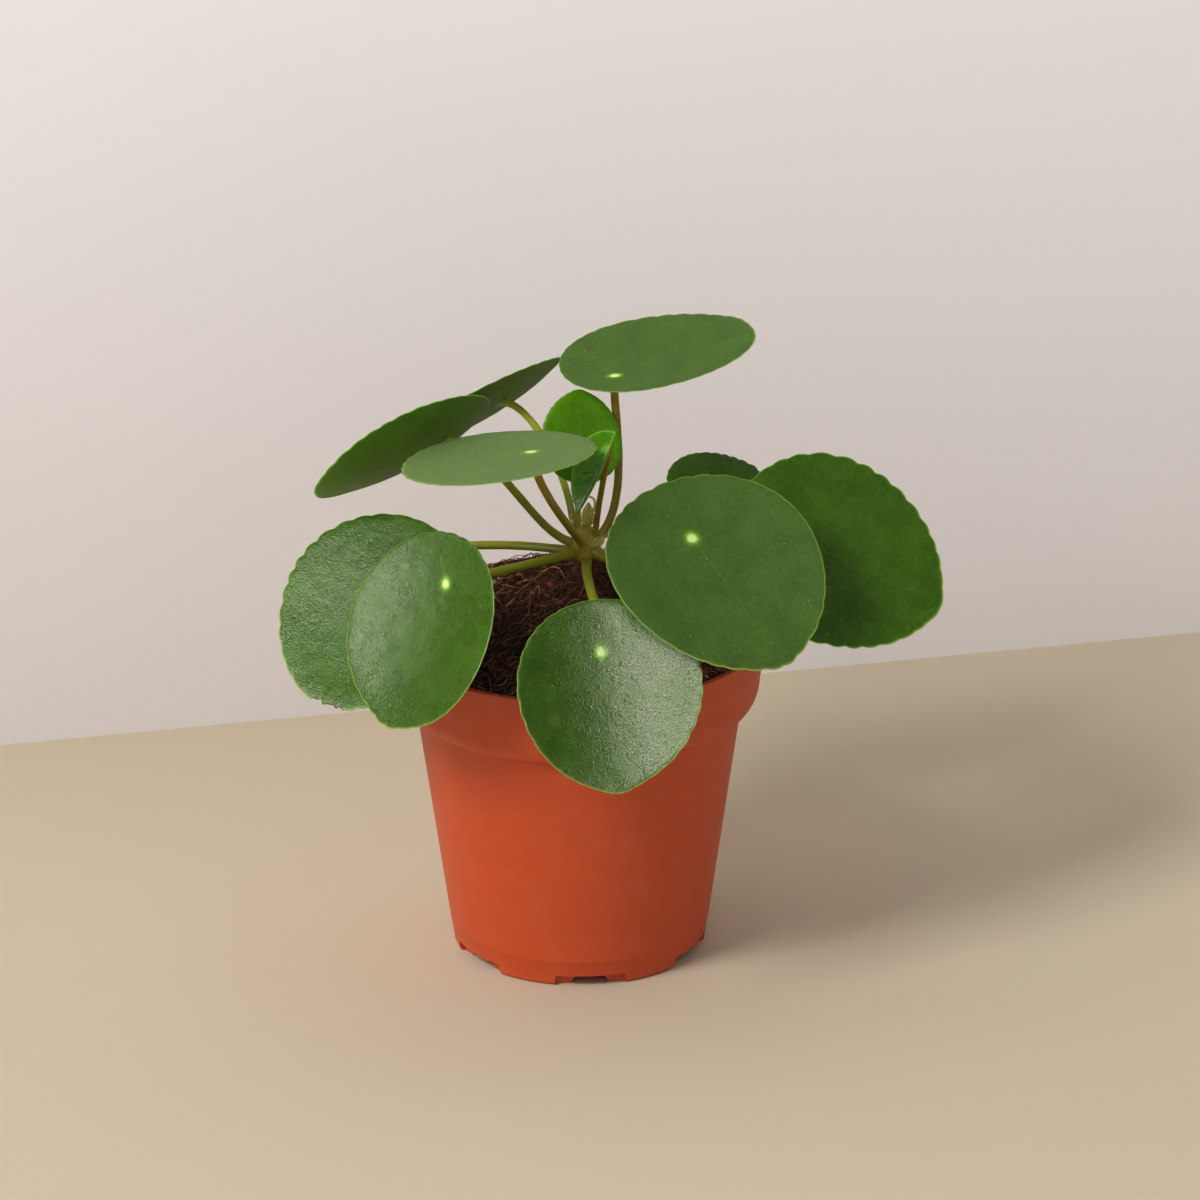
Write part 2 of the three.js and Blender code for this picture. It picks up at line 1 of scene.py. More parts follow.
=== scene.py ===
# %% [markdown]
# # A young pilea in its nursery pot
#
# A pilea is a house plant with round, shield-like leaves. Each leaf is carried from below by a
# thin stalk, which meets the blade inside its edge, at a pale spot. This plant has twelve leaves
# on one short, woody stem, and it stands in the plastic pot that it was raised in.
#
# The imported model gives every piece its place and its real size. This lesson dresses it: each
# piece is made again with the fine form and the finish that the real one has, where the model's
# own piece stands. Sizes are written in millimetres, and become metres only when a mesh is made.

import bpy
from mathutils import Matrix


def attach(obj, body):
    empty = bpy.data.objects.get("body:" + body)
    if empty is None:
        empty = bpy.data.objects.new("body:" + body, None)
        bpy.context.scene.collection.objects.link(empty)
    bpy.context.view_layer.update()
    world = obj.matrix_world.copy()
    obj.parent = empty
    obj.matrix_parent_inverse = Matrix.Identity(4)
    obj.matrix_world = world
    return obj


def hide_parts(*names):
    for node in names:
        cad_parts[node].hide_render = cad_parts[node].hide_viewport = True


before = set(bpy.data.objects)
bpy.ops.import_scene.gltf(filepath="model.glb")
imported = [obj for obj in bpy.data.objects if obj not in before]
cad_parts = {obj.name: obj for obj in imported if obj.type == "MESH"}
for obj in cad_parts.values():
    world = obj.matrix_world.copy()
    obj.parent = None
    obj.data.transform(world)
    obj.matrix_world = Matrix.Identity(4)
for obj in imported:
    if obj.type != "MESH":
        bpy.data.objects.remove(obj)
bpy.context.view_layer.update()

# %% What the rest of the lesson needs
import math
import random
from functools import partial

import bpy
import numpy as np
from mathutils import Matrix, Vector, noise

MM = 0.001
ROOT = "root"
scene = bpy.context.scene

# %% [markdown]
# ## Colours and nodes
#
# Colours are read off as sRGB hex values, the way a painter would mix them. Shaders reckon
# in linear light, so one function turns each hex value into that.
#
# A finish is a net of nodes. One small function adds a node: its settings are the node's own
# properties, and its feeds say what goes into its sockets. A feed is a number, a hex colour, an
# output of another node, or another node, which then gives its first output in use. Many nodes
# have several sockets of one name, so those are fed by number. "Mix" takes a share at 0 and two
# colours at 6 and 7, and "MapRange" turns the span from 1 to 2 into the span from 3 to 4.

# %% Turn a hex colour to linear light
def to_linear(hex_colour):
    channels = [int(hex_colour[i:i + 2], 16) / 255 for i in (1, 3, 5)]
    bright = [c / 12.92 if c <= 0.04045 else ((c + 0.055) / 1.055) ** 2.4 for c in channels]
    return (*bright, 1.0)


print("terracotta in linear light:", [round(c, 3) for c in to_linear("#C24616")])

# %% Feed the sockets of a node
def feed(node, feeds):
    for socket, value in feeds.items():
        if isinstance(value, bpy.types.Node):
            value = next(output for output in value.outputs if output.enabled)
        if isinstance(value, bpy.types.NodeSocket):
            node.id_data.links.new(value, node.inputs[socket])
        else:
            if isinstance(value, str):
                value = to_linear(value)
            node.inputs[socket].default_value = value


# %% Add one node
def add_node(tree, kind, feeds=None, **settings):
    node = tree.nodes.new("ShaderNode" + kind)
    for setting, value in settings.items():
        setattr(node, setting, value)
    feed(node, feeds or {})
    return node


# %% Start a finish from one Principled shader, with its own way to add nodes
def new_finish(name, constants):
    finish = bpy.data.materials.new(name)
    finish.use_nodes = True
    shader = finish.node_tree.nodes["Principled BSDF"]
    feed(shader, constants)
    return finish, partial(add_node, finish.node_tree), shader


# %% [markdown]
# A real surface has its colour in coats: a base, then stains, dust or chalk that cover a share of
# it. A finish is built up in the same way, so one loop lays each tint over what is below it. The
# patterns that say where a coat lies are sized in millimetres, as they are on the real thing.

# %% Lay tints over a colour
def lay_tints(add, colour, coats):
    for share, tint in coats:
        colour = add("Mix", {0: share, 6: colour, 7: tint}, data_type="RGBA")
    return colour


# %% Count the places on a piece in millimetres
def in_millimetres(add):
    metres = add("TexCoord").outputs["Object"]
    return add("VectorMath", {0: metres, 3: 1 / MM}, operation="SCALE")


# %% [markdown]
# ## Meshes
#
# Nearly every piece here is a skin over a row of rings: the pot is turned like a bowl on a wheel,
# and stalks and fibres are tubes that follow a curve. One function lists the faces between rings,
# and one makes the object, gives it its material and lets it ride on the plant's only body.

# %% Places round a circle
def full_turn(parts):
    return np.linspace(0, 2 * math.pi, parts, endpoint=False)


def on_circle(radius, turn):
    return radius * math.cos(turn), radius * math.sin(turn)


# %% Faces between closed rings
def ring_faces(rings, around, first=0, ends=True):
    faces = []
    for ring in range(rings - 1):
        start = first + ring * around
        for i in range(around):
            j = (i + 1) % around
            faces.append((start + i, start + j, start + around + j, start + around + i))
    if ends:
        last = first + (rings - 1) * around
        faces.append(tuple(first + i for i in reversed(range(around))))
        faces.append(tuple(last + i for i in range(around)))
    return faces


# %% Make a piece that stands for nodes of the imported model
def make_piece(name, points, faces, finish, nodes=()):
    mesh = bpy.data.meshes.new(name)
    mesh.from_pydata((np.asarray(points, float) * MM).tolist(), [], faces)
    mesh.polygons.foreach_set("use_smooth", [True] * len(mesh.polygons))
    mesh.materials.append(finish)
    piece = bpy.data.objects.new(name, mesh)
    scene.collection.objects.link(piece)
    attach(piece, ROOT)
    if nodes:
        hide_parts(*nodes)
    return piece


# %% [markdown]
# A finish can also read values that were written onto the mesh, one for each point. That is how it
# learns how far up a stalk it is, or how near the edge of a leaf.

# %% Write one value per point onto a mesh
def note_on(piece, label, values, kind="FLOAT"):
    attribute = piece.data.attributes.new(label, kind, "POINT")
    key = "value" if kind == "FLOAT" else "vector"
    attribute.data.foreach_set(key, np.asarray(values, np.float32).ravel())


# %% [markdown]
# ## The camera
#
# The photograph looks slightly down on the plant, through a long lens from well over two metres:
# the rim of the pot is a flat ellipse, and its sides hardly converge. Those two facts give the
# height angle and the distance. The long lens gives small plants their calm, undistorted look.

# %% Set up the camera
VIEW_DOWN = 22.47  # degrees below the horizon
CAMERA_PLACE = (6.1016, -2205.2099, 1015.1966)
CAMERA_ROLL = -0.0032  # radians
LENS = 254.73

camera_data = bpy.data.cameras.new("camera")
camera_data.sensor_width = 36
camera_data.lens = LENS
camera_data.clip_end = 20
camera = bpy.data.objects.new("camera", camera_data)
level_turn = Matrix.Rotation(math.radians(90 - VIEW_DOWN), 4, "X")
camera.matrix_world = (Matrix.Translation(Vector(CAMERA_PLACE) * MM) @ level_turn
                       @ Matrix.Rotation(CAMERA_ROLL, 4, "Z"))
scene.collection.objects.link(camera)
scene.camera = camera
print("camera distance:", round(Vector(CAMERA_PLACE).length), "mm")

# %% [markdown]
# ## The stage
#
# The plant stands on a pale, warm floor in front of a pale backdrop. Both are plain, so they carry
# only a very faint cloudiness. The backdrop is close, so it bounces light onto the backs of the
# leaves. It is kept out of the sheen on them, or else the flat leaves would mirror it all over.
# Its material is see-through from behind, so that the plant can be looked at from the back.

# %% Stage sizes
BACK_LEFT = Vector((-174.4, 136.6, 0))  # two points where the backdrop meets the floor
BACK_RIGHT = Vector((192.0, 221.7, 0))
STAGE_REACH = 2200

back_way = (BACK_RIGHT - BACK_LEFT).normalized()
back_middle = (BACK_LEFT + BACK_RIGHT) / 2
print("backdrop turned by", round(math.degrees(math.atan2(back_way.y, back_way.x)), 1), "degrees")

# %% Painted surfaces of the stage
def plain_paint(name, pale, dull, painted_glow_from_above=False):
    paint, add, shader = new_finish(name, {"Roughness": 0.85, "Specular IOR Level": 0.3})
    place = add("TexCoord").outputs["Object"]
    clouds = add("TexNoise", {"Vector": place, "Scale": 3.0, "Detail": 3.0})
    feed(shader, {"Base Color": lay_tints(add, pale, [(clouds, dull)])})
    if painted_glow_from_above:
        # Painted light: the backdrop glows, more towards the top, in place of a lamp above it, out of
        # sight.
        height = add("SeparateXYZ", {0: place}).outputs["Z"]
        painted_glow = add("MapRange", {0: height, 1: 0.0, 2: 0.36, 3: 0.1, 4: 0.4})
        feed(shader, {"Emission Color": (0.95, 0.97, 1.05, 1.0), "Emission Strength": painted_glow})
        side = add("NewGeometry").outputs["Backfacing"]
        clear = add("BsdfTransparent")
        both = add("MixShader", {0: side, 1: shader, 2: clear})
        feed(paint.node_tree.nodes["Material Output"], {"Surface": both})
    return paint


def make_sheet(name, corners, paint):
    mesh = bpy.data.meshes.new(name)
    mesh.from_pydata([tuple(c * MM) for c in corners], [], [(0, 1, 2, 3)])
    mesh.materials.append(paint)
    sheet = bpy.data.objects.new(name, mesh)
    scene.collection.objects.link(sheet)
    return sheet


# %% Lay the floor and hang the backdrop
left = back_middle - back_way * STAGE_REACH
right = back_middle + back_way * STAGE_REACH
forward = Vector((back_way.y, -back_way.x, 0)) * STAGE_REACH
up = Vector((0, 0, STAGE_REACH))
floor = make_sheet("stage_floor", [left + forward, right + forward, right, left],
                   plain_paint("pale_floor_paint", "#CDBEA5", "#C9BAA1"))
# The backdrop's paint carries a painted glow that brightens it towards the top.
backdrop = make_sheet("stage_backdrop", [left, right, right + up, left + up],
                      plain_paint("pale_backdrop_paint", "#DCD6D1", "#D9D3CE", painted_glow_from_above=True))
backdrop.visible_glossy = False
print("stage:", floor.name, backdrop.name)

# %% [markdown]
# ## The light
#
# The pot is bright on its left and falls to about two fifths of that on its right, and its soft
# shadow runs to the right and back. That takes one large soft box, high up at the front left, and
# a room that fills the shadows. The waxy leaves tell of more: they mirror pale things in front of
# them that the matt pot and the floor don't show, and two white boards stand for those. The
# colours are measured ones, so the picture is shown with the plain sRGB curve.
#
# Each lamp is a flat rectangle that looks at the plant from the same distance. The larger it is,
# the softer are its shadows, and the broader is the sheen that it leaves on a waxy skin.

# %% Hang a lamp that looks at the plant
LAMP_DISTANCE = 3000
PLANT_MIDDLE = Vector((0, 0, 90))


def hang_lamp(name, turn, lift, wide, high, power):
    """Turn counts from the right-hand side and lift from the floor, both in degrees."""
    turn, lift = math.radians(turn), math.radians(lift)
    level = math.cos(lift)
    way = Vector((level * math.cos(turn), level * math.sin(turn), math.sin(lift)))
    lamp_data = bpy.data.lights.new(name, "AREA")
    lamp_data.shape = "RECTANGLE"
    lamp_data.size, lamp_data.size_y = wide * MM, high * MM
    lamp_data.energy = power
    lamp = bpy.data.objects.new(name, lamp_data)
    lamp.location = (way * LAMP_DISTANCE + PLANT_MIDDLE) * MM
    lamp.rotation_euler = way.to_track_quat("Z", "Y").to_euler()
    scene.collection.objects.link(lamp)
    return lamp


# %% [markdown]
# The soft box gives the plant its form and its shadow. It stays out of the sheen, because the
# leaves of the photograph don't mirror anything in its place.

# %% Hang the soft box
soft_box = hang_lamp("soft_box", -138, 43, 950, 950, 60)
soft_box.visible_glossy = False
print("soft box stands", round(soft_box.location.z, 2), "m high")

# %% [markdown]
# The white boards are the other way round. One stands in front and one further to the left, both
# lower than the box. They are only there to be mirrored, as the broad, pale sheen on the leaves
# that hang towards them, and light nothing that is matt.

# %% Stand up the white boards
near_board = hang_lamp("white_board_front", -85, 26, 2100, 1250, 88)
left_board = hang_lamp("white_board_left", -152, 28, 1800, 950, 60)
for board in (near_board, left_board):
    board.visible_diffuse = False
    board.visible_transmission = False
print("white boards:", near_board.name, left_board.name)

# %% [markdown]
# The rest of the room is pale and slightly warm, and fills the shadows evenly. A real room has
# dark corners, which keep its mirror image on a leaf weak, and an even one has none. So the room
# is dimmed to three tenths where it is mirrored.

# %% Fill the shadows
ROOM_EVEN = 0.35
ROOM_MIRRORED = 0.3  # the share of it that a mirror image keeps
room = bpy.data.worlds.new("pale_room")
scene.world = room
room.use_nodes = True
air = room.node_tree.nodes["Background"]
mirrored = add_node(room.node_tree, "LightPath").outputs["Is Glossy Ray"]
dimmed = add_node(room.node_tree, "MapRange",
                  {0: mirrored, 3: ROOM_EVEN, 4: ROOM_MIRRORED * ROOM_EVEN})
feed(air, {"Color": (1.0, 0.955, 0.92, 1.0), "Strength": dimmed})
scene.view_settings.view_transform = "Standard"
print("evenly lit room:", ROOM_EVEN)

# %% [markdown]
# ## The pot
#
# The pot is injection moulded from polypropylene, in one shot, so its wall is the same thickness
# all over. A rolled-out rim band stiffens it, a small step under the band lets pots nest, and a
# faint ridge near the foot is where the mould's parts met. It is a turned form: one outline is
# drawn from the middle of its underside, out to the foot, up the outside, over the lip and down
# the inside, and is then swept round the axis.

# %% Sizes of the pot
POT_HEIGHT = 95
RIM_RADIUS = 54
RIM_FOOT = 73  # lower end of the rim band
RIM_SLOPE = 0.2
CURVE_TOP = 81  # above this the band is straight
BODY_TOP_RADIUS = 46.1
BODY_SLOPE = 0.142
STEP = (1.3, 0.4)
RIDGE_HEIGHT = 7.7
FOOT_RADIUS = 34.4
FOOT_ROUND = 1.4
WALL = 1.2
FLOOR_UNDERSIDE = 3.5
FLOOR_TOP = 5.0
FOOT_RING_INSIDE = 31.2
PAD_RADIUS = 8


def body_radius(z):
    return BODY_TOP_RADIUS - (RIM_FOOT - z) * BODY_SLOPE


def band_radius(z):
    return RIM_RADIUS - (POT_HEIGHT - z) * RIM_SLOPE


# %% Draw the pot's outline
def arc(middle, wide, high, start, end, steps):
    turns = [math.radians(start + (end - start) * i / steps) for i in range(steps + 1)]
    return [(middle[0] + wide * math.cos(t), middle[1] + high * math.sin(t)) for t in turns]


step_radius = BODY_TOP_RADIUS + STEP[0]
bulge = band_radius(CURVE_TOP) - step_radius
curve_foot = RIM_FOOT + STEP[1]
outside = [
    *arc((FOOT_RADIUS, FOOT_ROUND), FOOT_ROUND, FOOT_ROUND, -90, 0, 6),
    (body_radius(RIDGE_HEIGHT) - 0.16, RIDGE_HEIGHT - 0.35),
    (body_radius(RIDGE_HEIGHT) + 0.04, RIDGE_HEIGHT),
    *[(body_radius(z), z) for z in (RIDGE_HEIGHT + 0.5, 12, 22, 34, 46, 58, 68, 72.2)],
    (BODY_TOP_RADIUS, RIM_FOOT - 0.1),
    (BODY_TOP_RADIUS + 0.15, RIM_FOOT + 0.1),
    (step_radius - 0.2, curve_foot - 0.15),
    *arc((step_radius, CURVE_TOP), bulge, CURVE_TOP - curve_foot, -88, 0, 16),
    *[(band_radius(z), z) for z in (84, 88, 92, 94)],
    *arc((RIM_RADIUS - 0.6, POT_HEIGHT - 0.5), 0.55, 0.5, 0, 90, 5),
]
lip_inside = RIM_RADIUS - WALL - 0.2
inside = [
    *arc((lip_inside + 0.4, POT_HEIGHT - 0.4), 0.4, 0.4, 90, 180, 4),
    *[(band_radius(z) - WALL, z) for z in (92, 88, 84, CURVE_TOP)],
    (band_radius(CURVE_TOP) - WALL - 0.9, 76.4),
    (step_radius - WALL, RIM_FOOT + 0.9),
    *[(body_radius(z) - WALL, z) for z in (70, 50, 30, FLOOR_TOP + 3)],
    (body_radius(FLOOR_TOP) - WALL - 1.2, FLOOR_TOP),
    (0.5, FLOOR_TOP),
]
underside = [(0.5, 0), (PAD_RADIUS - 0.3, 0), (PAD_RADIUS, 0.3), (PAD_RADIUS, FLOOR_UNDERSIDE),
             (FOOT_RING_INSIDE, FLOOR_UNDERSIDE), (FOOT_RING_INSIDE, 0.3), (FOOT_RING_INSIDE + 0.3, 0)]
pot_outline = underside + outside + inside
print("points in the outline:", len(pot_outline))


# %% Sweep the outline round the axis
def turned(outline, around):
    rings = [[(*on_circle(r, turn), z) for turn in full_turn(around)] for r, z in outline]
    return np.array(rings).reshape(-1, 3), ring_faces(len(outline), around)


# %% [markdown]
# The pot's plastic is coloured right through and leaves the mould with a satin skin. The eye sees
# a broad, soft highlight, a very fine orange-peel texture, and slight clouds where the melt
# flowed. Handling leaves paler scuffs on the lip and the foot, and water and dust leave a bloom.

# %% Satin terracotta polypropylene
def moulded_polypropylene():
    # Polypropylene has an IOR of 1.49, and a spark-textured mould leaves a roughness near 0.45.
    finish, add, shader = new_finish("moulded_polypropylene_terracotta", {
        "IOR": 1.49, "Specular IOR Level": 0.4})
    place = in_millimetres(add)
    height = add("SeparateXYZ", {0: place}).outputs["Z"]
    # Flow clouds are tens of millimetres across and drawn out round the pot.
    squeezed = add("VectorMath", {0: place, 1: (1.0, 1.0, 2.6)}, operation="MULTIPLY")
    clouds = add("TexNoise", {"Vector": squeezed, "Scale": 0.045, "Detail": 4.0, "Roughness": 0.6})
    # Scuffs: small pale rubs, only near the lip and the foot.
    rubs = add("TexNoise", {"Vector": place, "Scale": 0.55, "Detail": 5.0, "Roughness": 0.75})
    rub_share = add("MapRange", {0: rubs, 1: 0.55, 2: 0.72})
    near_lip = add("MapRange", {0: height, 1: 93.2, 2: 95.0})
    near_foot = add("MapRange", {0: height, 1: 3.5, 2: 0.5})
    worn = add("Math", {0: near_lip, 1: near_foot}, operation="MAXIMUM")
    rubbed = add("Math", {0: worn, 1: rub_share}, operation="MULTIPLY")
    scuffs = add("Math", {0: rubbed, 1: 0.45}, operation="MULTIPLY")
    # Water marks and dust leave a faint, pale bloom all over, and dull the skin.
    bloom = add("TexNoise", {"Vector": place, "Scale": 0.12, "Detail": 8.0, "Roughness": 0.7})
    dust = add("MapRange", {0: bloom, 1: 0.52, 2: 0.8, 3: 0.0, 4: 0.16})
    colour = lay_tints(add, "#C24616", [(clouds, "#CA4D1D"), (scuffs, "#DE9A78"), (dust, "#D28A66")])
    dull = add("MapRange", {0: bloom, 1: 0.3, 2: 0.8, 3: 0.42, 4: 0.56})
    # Orange peel 0.5 mm across. The real one is finer, but would not show at this size.
    peel = add("TexNoise", {"Vector": place, "Scale": 1.9, "Detail": 2.0})
    waves = add("TexNoise", {"Vector": place, "Scale": 0.07, "Detail": 1.0})
    relief = add("Math", {0: waves, 1: 12.0, 2: peel}, operation="MULTIPLY_ADD")
    bump = add("Bump", {"Height": relief, "Strength": 1.0, "Distance": 0.012 * MM})
    feed(shader, {"Base Color": colour, "Roughness": dull, "Normal": bump})
    return finish


plastic = moulded_polypropylene()
print("finish:", plastic.name)

# %% Make the pot
pot_points, pot_faces = turned(pot_outline, 240)
pot = make_piece("pot_moulded", pot_points, pot_faces, plastic, ["pot"])
print("pot points:", len(pot_points))

# %% [markdown]
# Water has to leave the pot, so its foot has six drain notches: a wide, shallow recess with an
# arch cut right through it, and a round hole in the floor behind the arch. They are cut out with
# Boolean modifiers, each with one joined cutter, and the result is then kept as the mesh.

# %% Sizes of the drain notches
NOTCHES = 6
FIRST_NOTCH = -85  # degrees from the right-hand side
RECESS = (20, 3.3, 1.6)  # wide, high, deep
ARCH = (7.4, 10.8, 3.0)  # wide at its top, wide at its foot, high
HOLE_RADIUS = 3.6
HOLE_CENTRE = 24.5


# %% Draw the cutters
def bar(section, near, far, angle):
    """A bar that points outwards: its section is drawn in width and height."""
    away = np.array([math.cos(angle), math.sin(angle), 0])
    across = np.array([-math.sin(angle), math.cos(angle), 0])
    rise = np.array([0, 0, 1])
    return [away * reach + across * w + rise * h for reach in (near, far) for w, h in section]


def cutter_from(name, bodies):
    points, faces = [], []
    for body in bodies:
        faces += ring_faces(2, len(body) // 2, len(points))
        points += body
    mesh = bpy.data.meshes.new(name)
    mesh.from_pydata([tuple(p * MM) for p in points], [], faces)
    return bpy.data.objects.new(name, mesh)


half = RECESS[0] / 2
recess_section = [(-half, -1), (half, -1), (half, RECESS[1] - 0.4), (half - 0.4, RECESS[1]),
                  (0.4 - half, RECESS[1]), (-half, RECESS[1] - 0.4)]
top, foot = ARCH[0] / 2, ARCH[1] / 2
arch_side = [(foot, -1), (foot, 0), (top + 0.9, ARCH[2] * 0.45), (top + 0.2, ARCH[2] - 1),
             (top - 0.25, ARCH[2] - 0.3), (top - 1, ARCH[2])]
arch_section = arch_side + [(-w, h) for w, h in reversed(arch_side)]
hole_ring = [on_circle(HOLE_RADIUS, turn) for turn in full_turn(32)]

# %% Cut the notches
recesses, arches, holes = [], [], []
for number in range(NOTCHES):
    angle = math.radians(FIRST_NOTCH + 360 / NOTCHES * number)
    recesses.append(bar(recess_section, FOOT_RADIUS - RECESS[2], FOOT_RADIUS + 5, angle))
    arches.append(bar(arch_section, FOOT_RING_INSIDE - 1, FOOT_RADIUS + 0.5, angle))
    x, y = on_circle(HOLE_CENTRE, angle)
    holes.append([np.array([x + dx, y + dy, z]) for z in (-1, 7) for dx, dy in hole_ring])
cutters = [cutter_from("recesses", recesses), cutter_from("arches", arches),
           cutter_from("holes", holes)]
for cutter in cutters:
    scene.collection.objects.link(cutter)
    cut = pot.modifiers.new(cutter.name, "BOOLEAN")
    cut.operation = "DIFFERENCE"
    cut.solver = "EXACT"
    cut.object = cutter
cut_pot = pot.evaluated_get(bpy.context.evaluated_depsgraph_get())
cut_mesh = bpy.data.meshes.new_from_object(cut_pot)
pot.modifiers.clear()
pot.data = cut_mesh
for cutter in cutters:
    bpy.data.objects.remove(cutter)
print("pot faces with its notches:", len(cut_mesh.polygons))


# %% [markdown]
# A mould leaves crisp corners at the step and the notches, and smooth shading would blur them. So
# every edge where the skin turns by more than 38 degrees is marked as sharp.

# %% Keep the pot's hard edges hard
def sharpen(mesh, degrees):
    mesh.polygons.foreach_set("use_smooth", [True] * len(mesh.polygons))
    mesh.set_sharp_from_angle(angle=math.radians(degrees))


sharpen(pot.data, 38)

# %% [markdown]
# ## The soil
#
# The pot is filled with a mix of peat and coir, the brown fibre of coconut husks. The root ball
# stands proud of the rim behind the middle, where the stem is, and falls to a dark trough at the
# front. Its surface is made in three layers, as it is in the pot: a lumpy skin, loose crumbs on
# top of it, and a tangle of coir strands that lie on both.

# %% Shape of the soil
SOIL_LEVEL = 88.5
SOIL_BACKWARD = 0.05
MOUND = (15.5, 1, 20, 24, 22)  # height, middle x and y, spread in x and y
SOIL_EDGE = 50.1
STEM_SPOT = (2, 14)


def soil_height(x, y):
    high, mx, my, wide, deep = MOUND
    mound = high * math.exp(-(((x - mx) / wide) ** 2 + ((y - my) / deep) ** 2) / 2)
    return SOIL_LEVEL + SOIL_BACKWARD * y + mound


def soil_surface(x, y):
    """The soil with its lumps: broad ones 9 mm across, clods of 4 mm and grains of 1.5 mm."""
    lumps = 0.9 * noise.noise(Vector((x / 9, y / 9, 3)))
    clods = 0.75 * noise.noise(Vector((x / 4, y / 4, 7)))
    grains = 0.4 * noise.noise(Vector((x / 1.5, y / 1.5, 11)))
    fine = 0.2 * noise.noise(Vector((x / 0.7, y / 0.7, 5)))
    settled = min(1.0, (SOIL_EDGE - math.hypot(x, y)) / 2 + 0.25)
    return soil_height(x, y) + settled * (lumps + clods + grains + fine) - 0.35


# %% [markdown]
# Peat is matt and nearly black where it is damp and shaded, and a warm brown where it has dried.
# It was milled and sieved, so the eye finds grains of every size. The strands are husk fibres:
# most are red-brown, and some are straw-coloured.

# %% Damp peat
def damp_peat():
    finish, add, shader = new_finish("damp_peat_mix", {"IOR": 1.35, "Specular IOR Level": 0.25,
                                                       "Roughness": 0.95})
    place = in_millimetres(add)
    # Grains of 1 mm, and ruddy patches a centimetre across.
    grain = add("TexNoise", {"Vector": place, "Scale": 1.1, "Detail": 6.0, "Roughness": 0.7})
    patch = add("TexNoise", {"Vector": place, "Scale": 0.09, "Detail": 3.0})
    dried = add("MapRange", {0: grain, 1: 0.38, 2: 0.68})
    ruddy = add("MapRange", {0: patch, 1: 0.45, 2: 0.62, 3: 0.0, 4: 0.6})
    # Painted shade: the soil is darkened towards the front, where the leaves above shade the trough.
    behind = add("SeparateXYZ", {0: place}).outputs["Y"]
    painted_front_shade = add("MapRange", {0: behind, 1: 2.0, 2: -26.0, 3: 0.0, 4: 0.72})
    colour = lay_tints(add, "#1C0E07", [(dried, "#5C3320"), (ruddy, "#6E3820"), (painted_front_shade, "#150C06")])
    bump = add("Bump", {"Height": grain, "Strength": 0.9, "Distance": 0.5 * MM})
    feed(shader, {"Base Color": colour, "Normal": bump})
    return finish


# %% Make the root ball
SOIL_AROUND = 220
SOIL_RINGS = 96

soil_rings = [(body_radius(FLOOR_TOP) - WALL - 2.2, FLOOR_TOP + 0.3),
              (body_radius(8.3) - WALL - 0.3, 8.3), (body_radius(70) - WALL - 0.3, 70),
              (step_radius - WALL - 0.4, 74.2), (SOIL_EDGE - 1.3, 77.2), (SOIL_EDGE, 81.2)]
soil_points = turned(soil_rings, SOIL_AROUND)[0].tolist()
for ring in range(SOIL_RINGS, 0, -1):
    for turn in full_turn(SOIL_AROUND):
        x, y = on_circle(SOIL_EDGE * ring / SOIL_RINGS, turn)
        soil_points.append((x, y, soil_surface(x, y)))
make_piece("soil_mix", soil_points, ring_faces(len(soil_rings) + SOIL_RINGS, SOIL_AROUND),
           damp_peat(), ["soil"])
print("soil points:", len(soil_points))

# %% [markdown]
# Sieved peat is never a smooth skin. Crumbs of husk pith lie loose on it, many small ones and few
# large ones, so each size is a random share raised to a power. Every crumb is a small ball with
# its points pushed in or out, half sunk in the soil.

# %% A rough ball
def rough_ball(middle, size, dice):
    """A ball of 5 rings with 8 points each, every point pushed in or out at random."""
    points = []
    flatness = 0.55 + 0.4 * dice.random()
    for ring in range(5):
        lean = math.radians(-70 + 35 * ring)
        for i in range(8):
            turn = 2 * math.pi * i / 8
            reach = size * (0.72 + 0.5 * dice.random())
            points.append((middle[0] + reach * math.cos(lean) * math.cos(turn),
                           middle[1] + reach * math.cos(lean) * math.sin(turn),
                           middle[2] + reach * math.sin(lean) * flatness))
    return points


# %% Strew the crumbs
def strewn_place(dice, widest):
    """Any place inside this circle. The square root keeps its middle from being crowded."""
    reach = widest * math.sqrt(dice.random())
    return on_circle(reach, 2 * math.pi * dice.random())


CRUMBS = 1000
crumb_dice = random.Random(21)
crumb_points, crumb_faces, crumb_tones = [], [], []
for _ in range(CRUMBS):
    x, y = strewn_place(crumb_dice, 48.5)
    size = 0.25 + 0.95 * crumb_dice.random() ** 3
    crumb_faces += ring_faces(5, 8, len(crumb_points))
    crumb_points += rough_ball((x, y, soil_surface(x, y) + 0.15 * size), size, crumb_dice)
    crumb_tones += [0.7 * crumb_dice.random() ** 2.2] * 40
print("crumb points:", len(crumb_points))

# %% [markdown]
# A tube needs a frame that moves along its curve without twisting. Starting from any side, each
# step keeps the last side and only takes out what points along the new direction. Stalks, strands
# and the bud's hook all use it.

# %% Points of a tube along a curve
def tube_points(path, radii, around, ways=None):
    path = np.asarray(path, float)
    if ways is None:
        ways = np.gradient(path, axis=0)
    side = np.cross(ways[0], (0.3, 1.0, 0.2))
    points = []
    for place, way, radius in zip(path, ways, radii):
        way = way / np.linalg.norm(way)
        side = side - way * side.dot(way)
        side /= np.linalg.norm(side)
        other = np.cross(way, side)
        for i in range(around):
            turn = 2 * math.pi * i / around
            points.append(place + radius * (math.cos(turn) * side + math.sin(turn) * other))
    return points


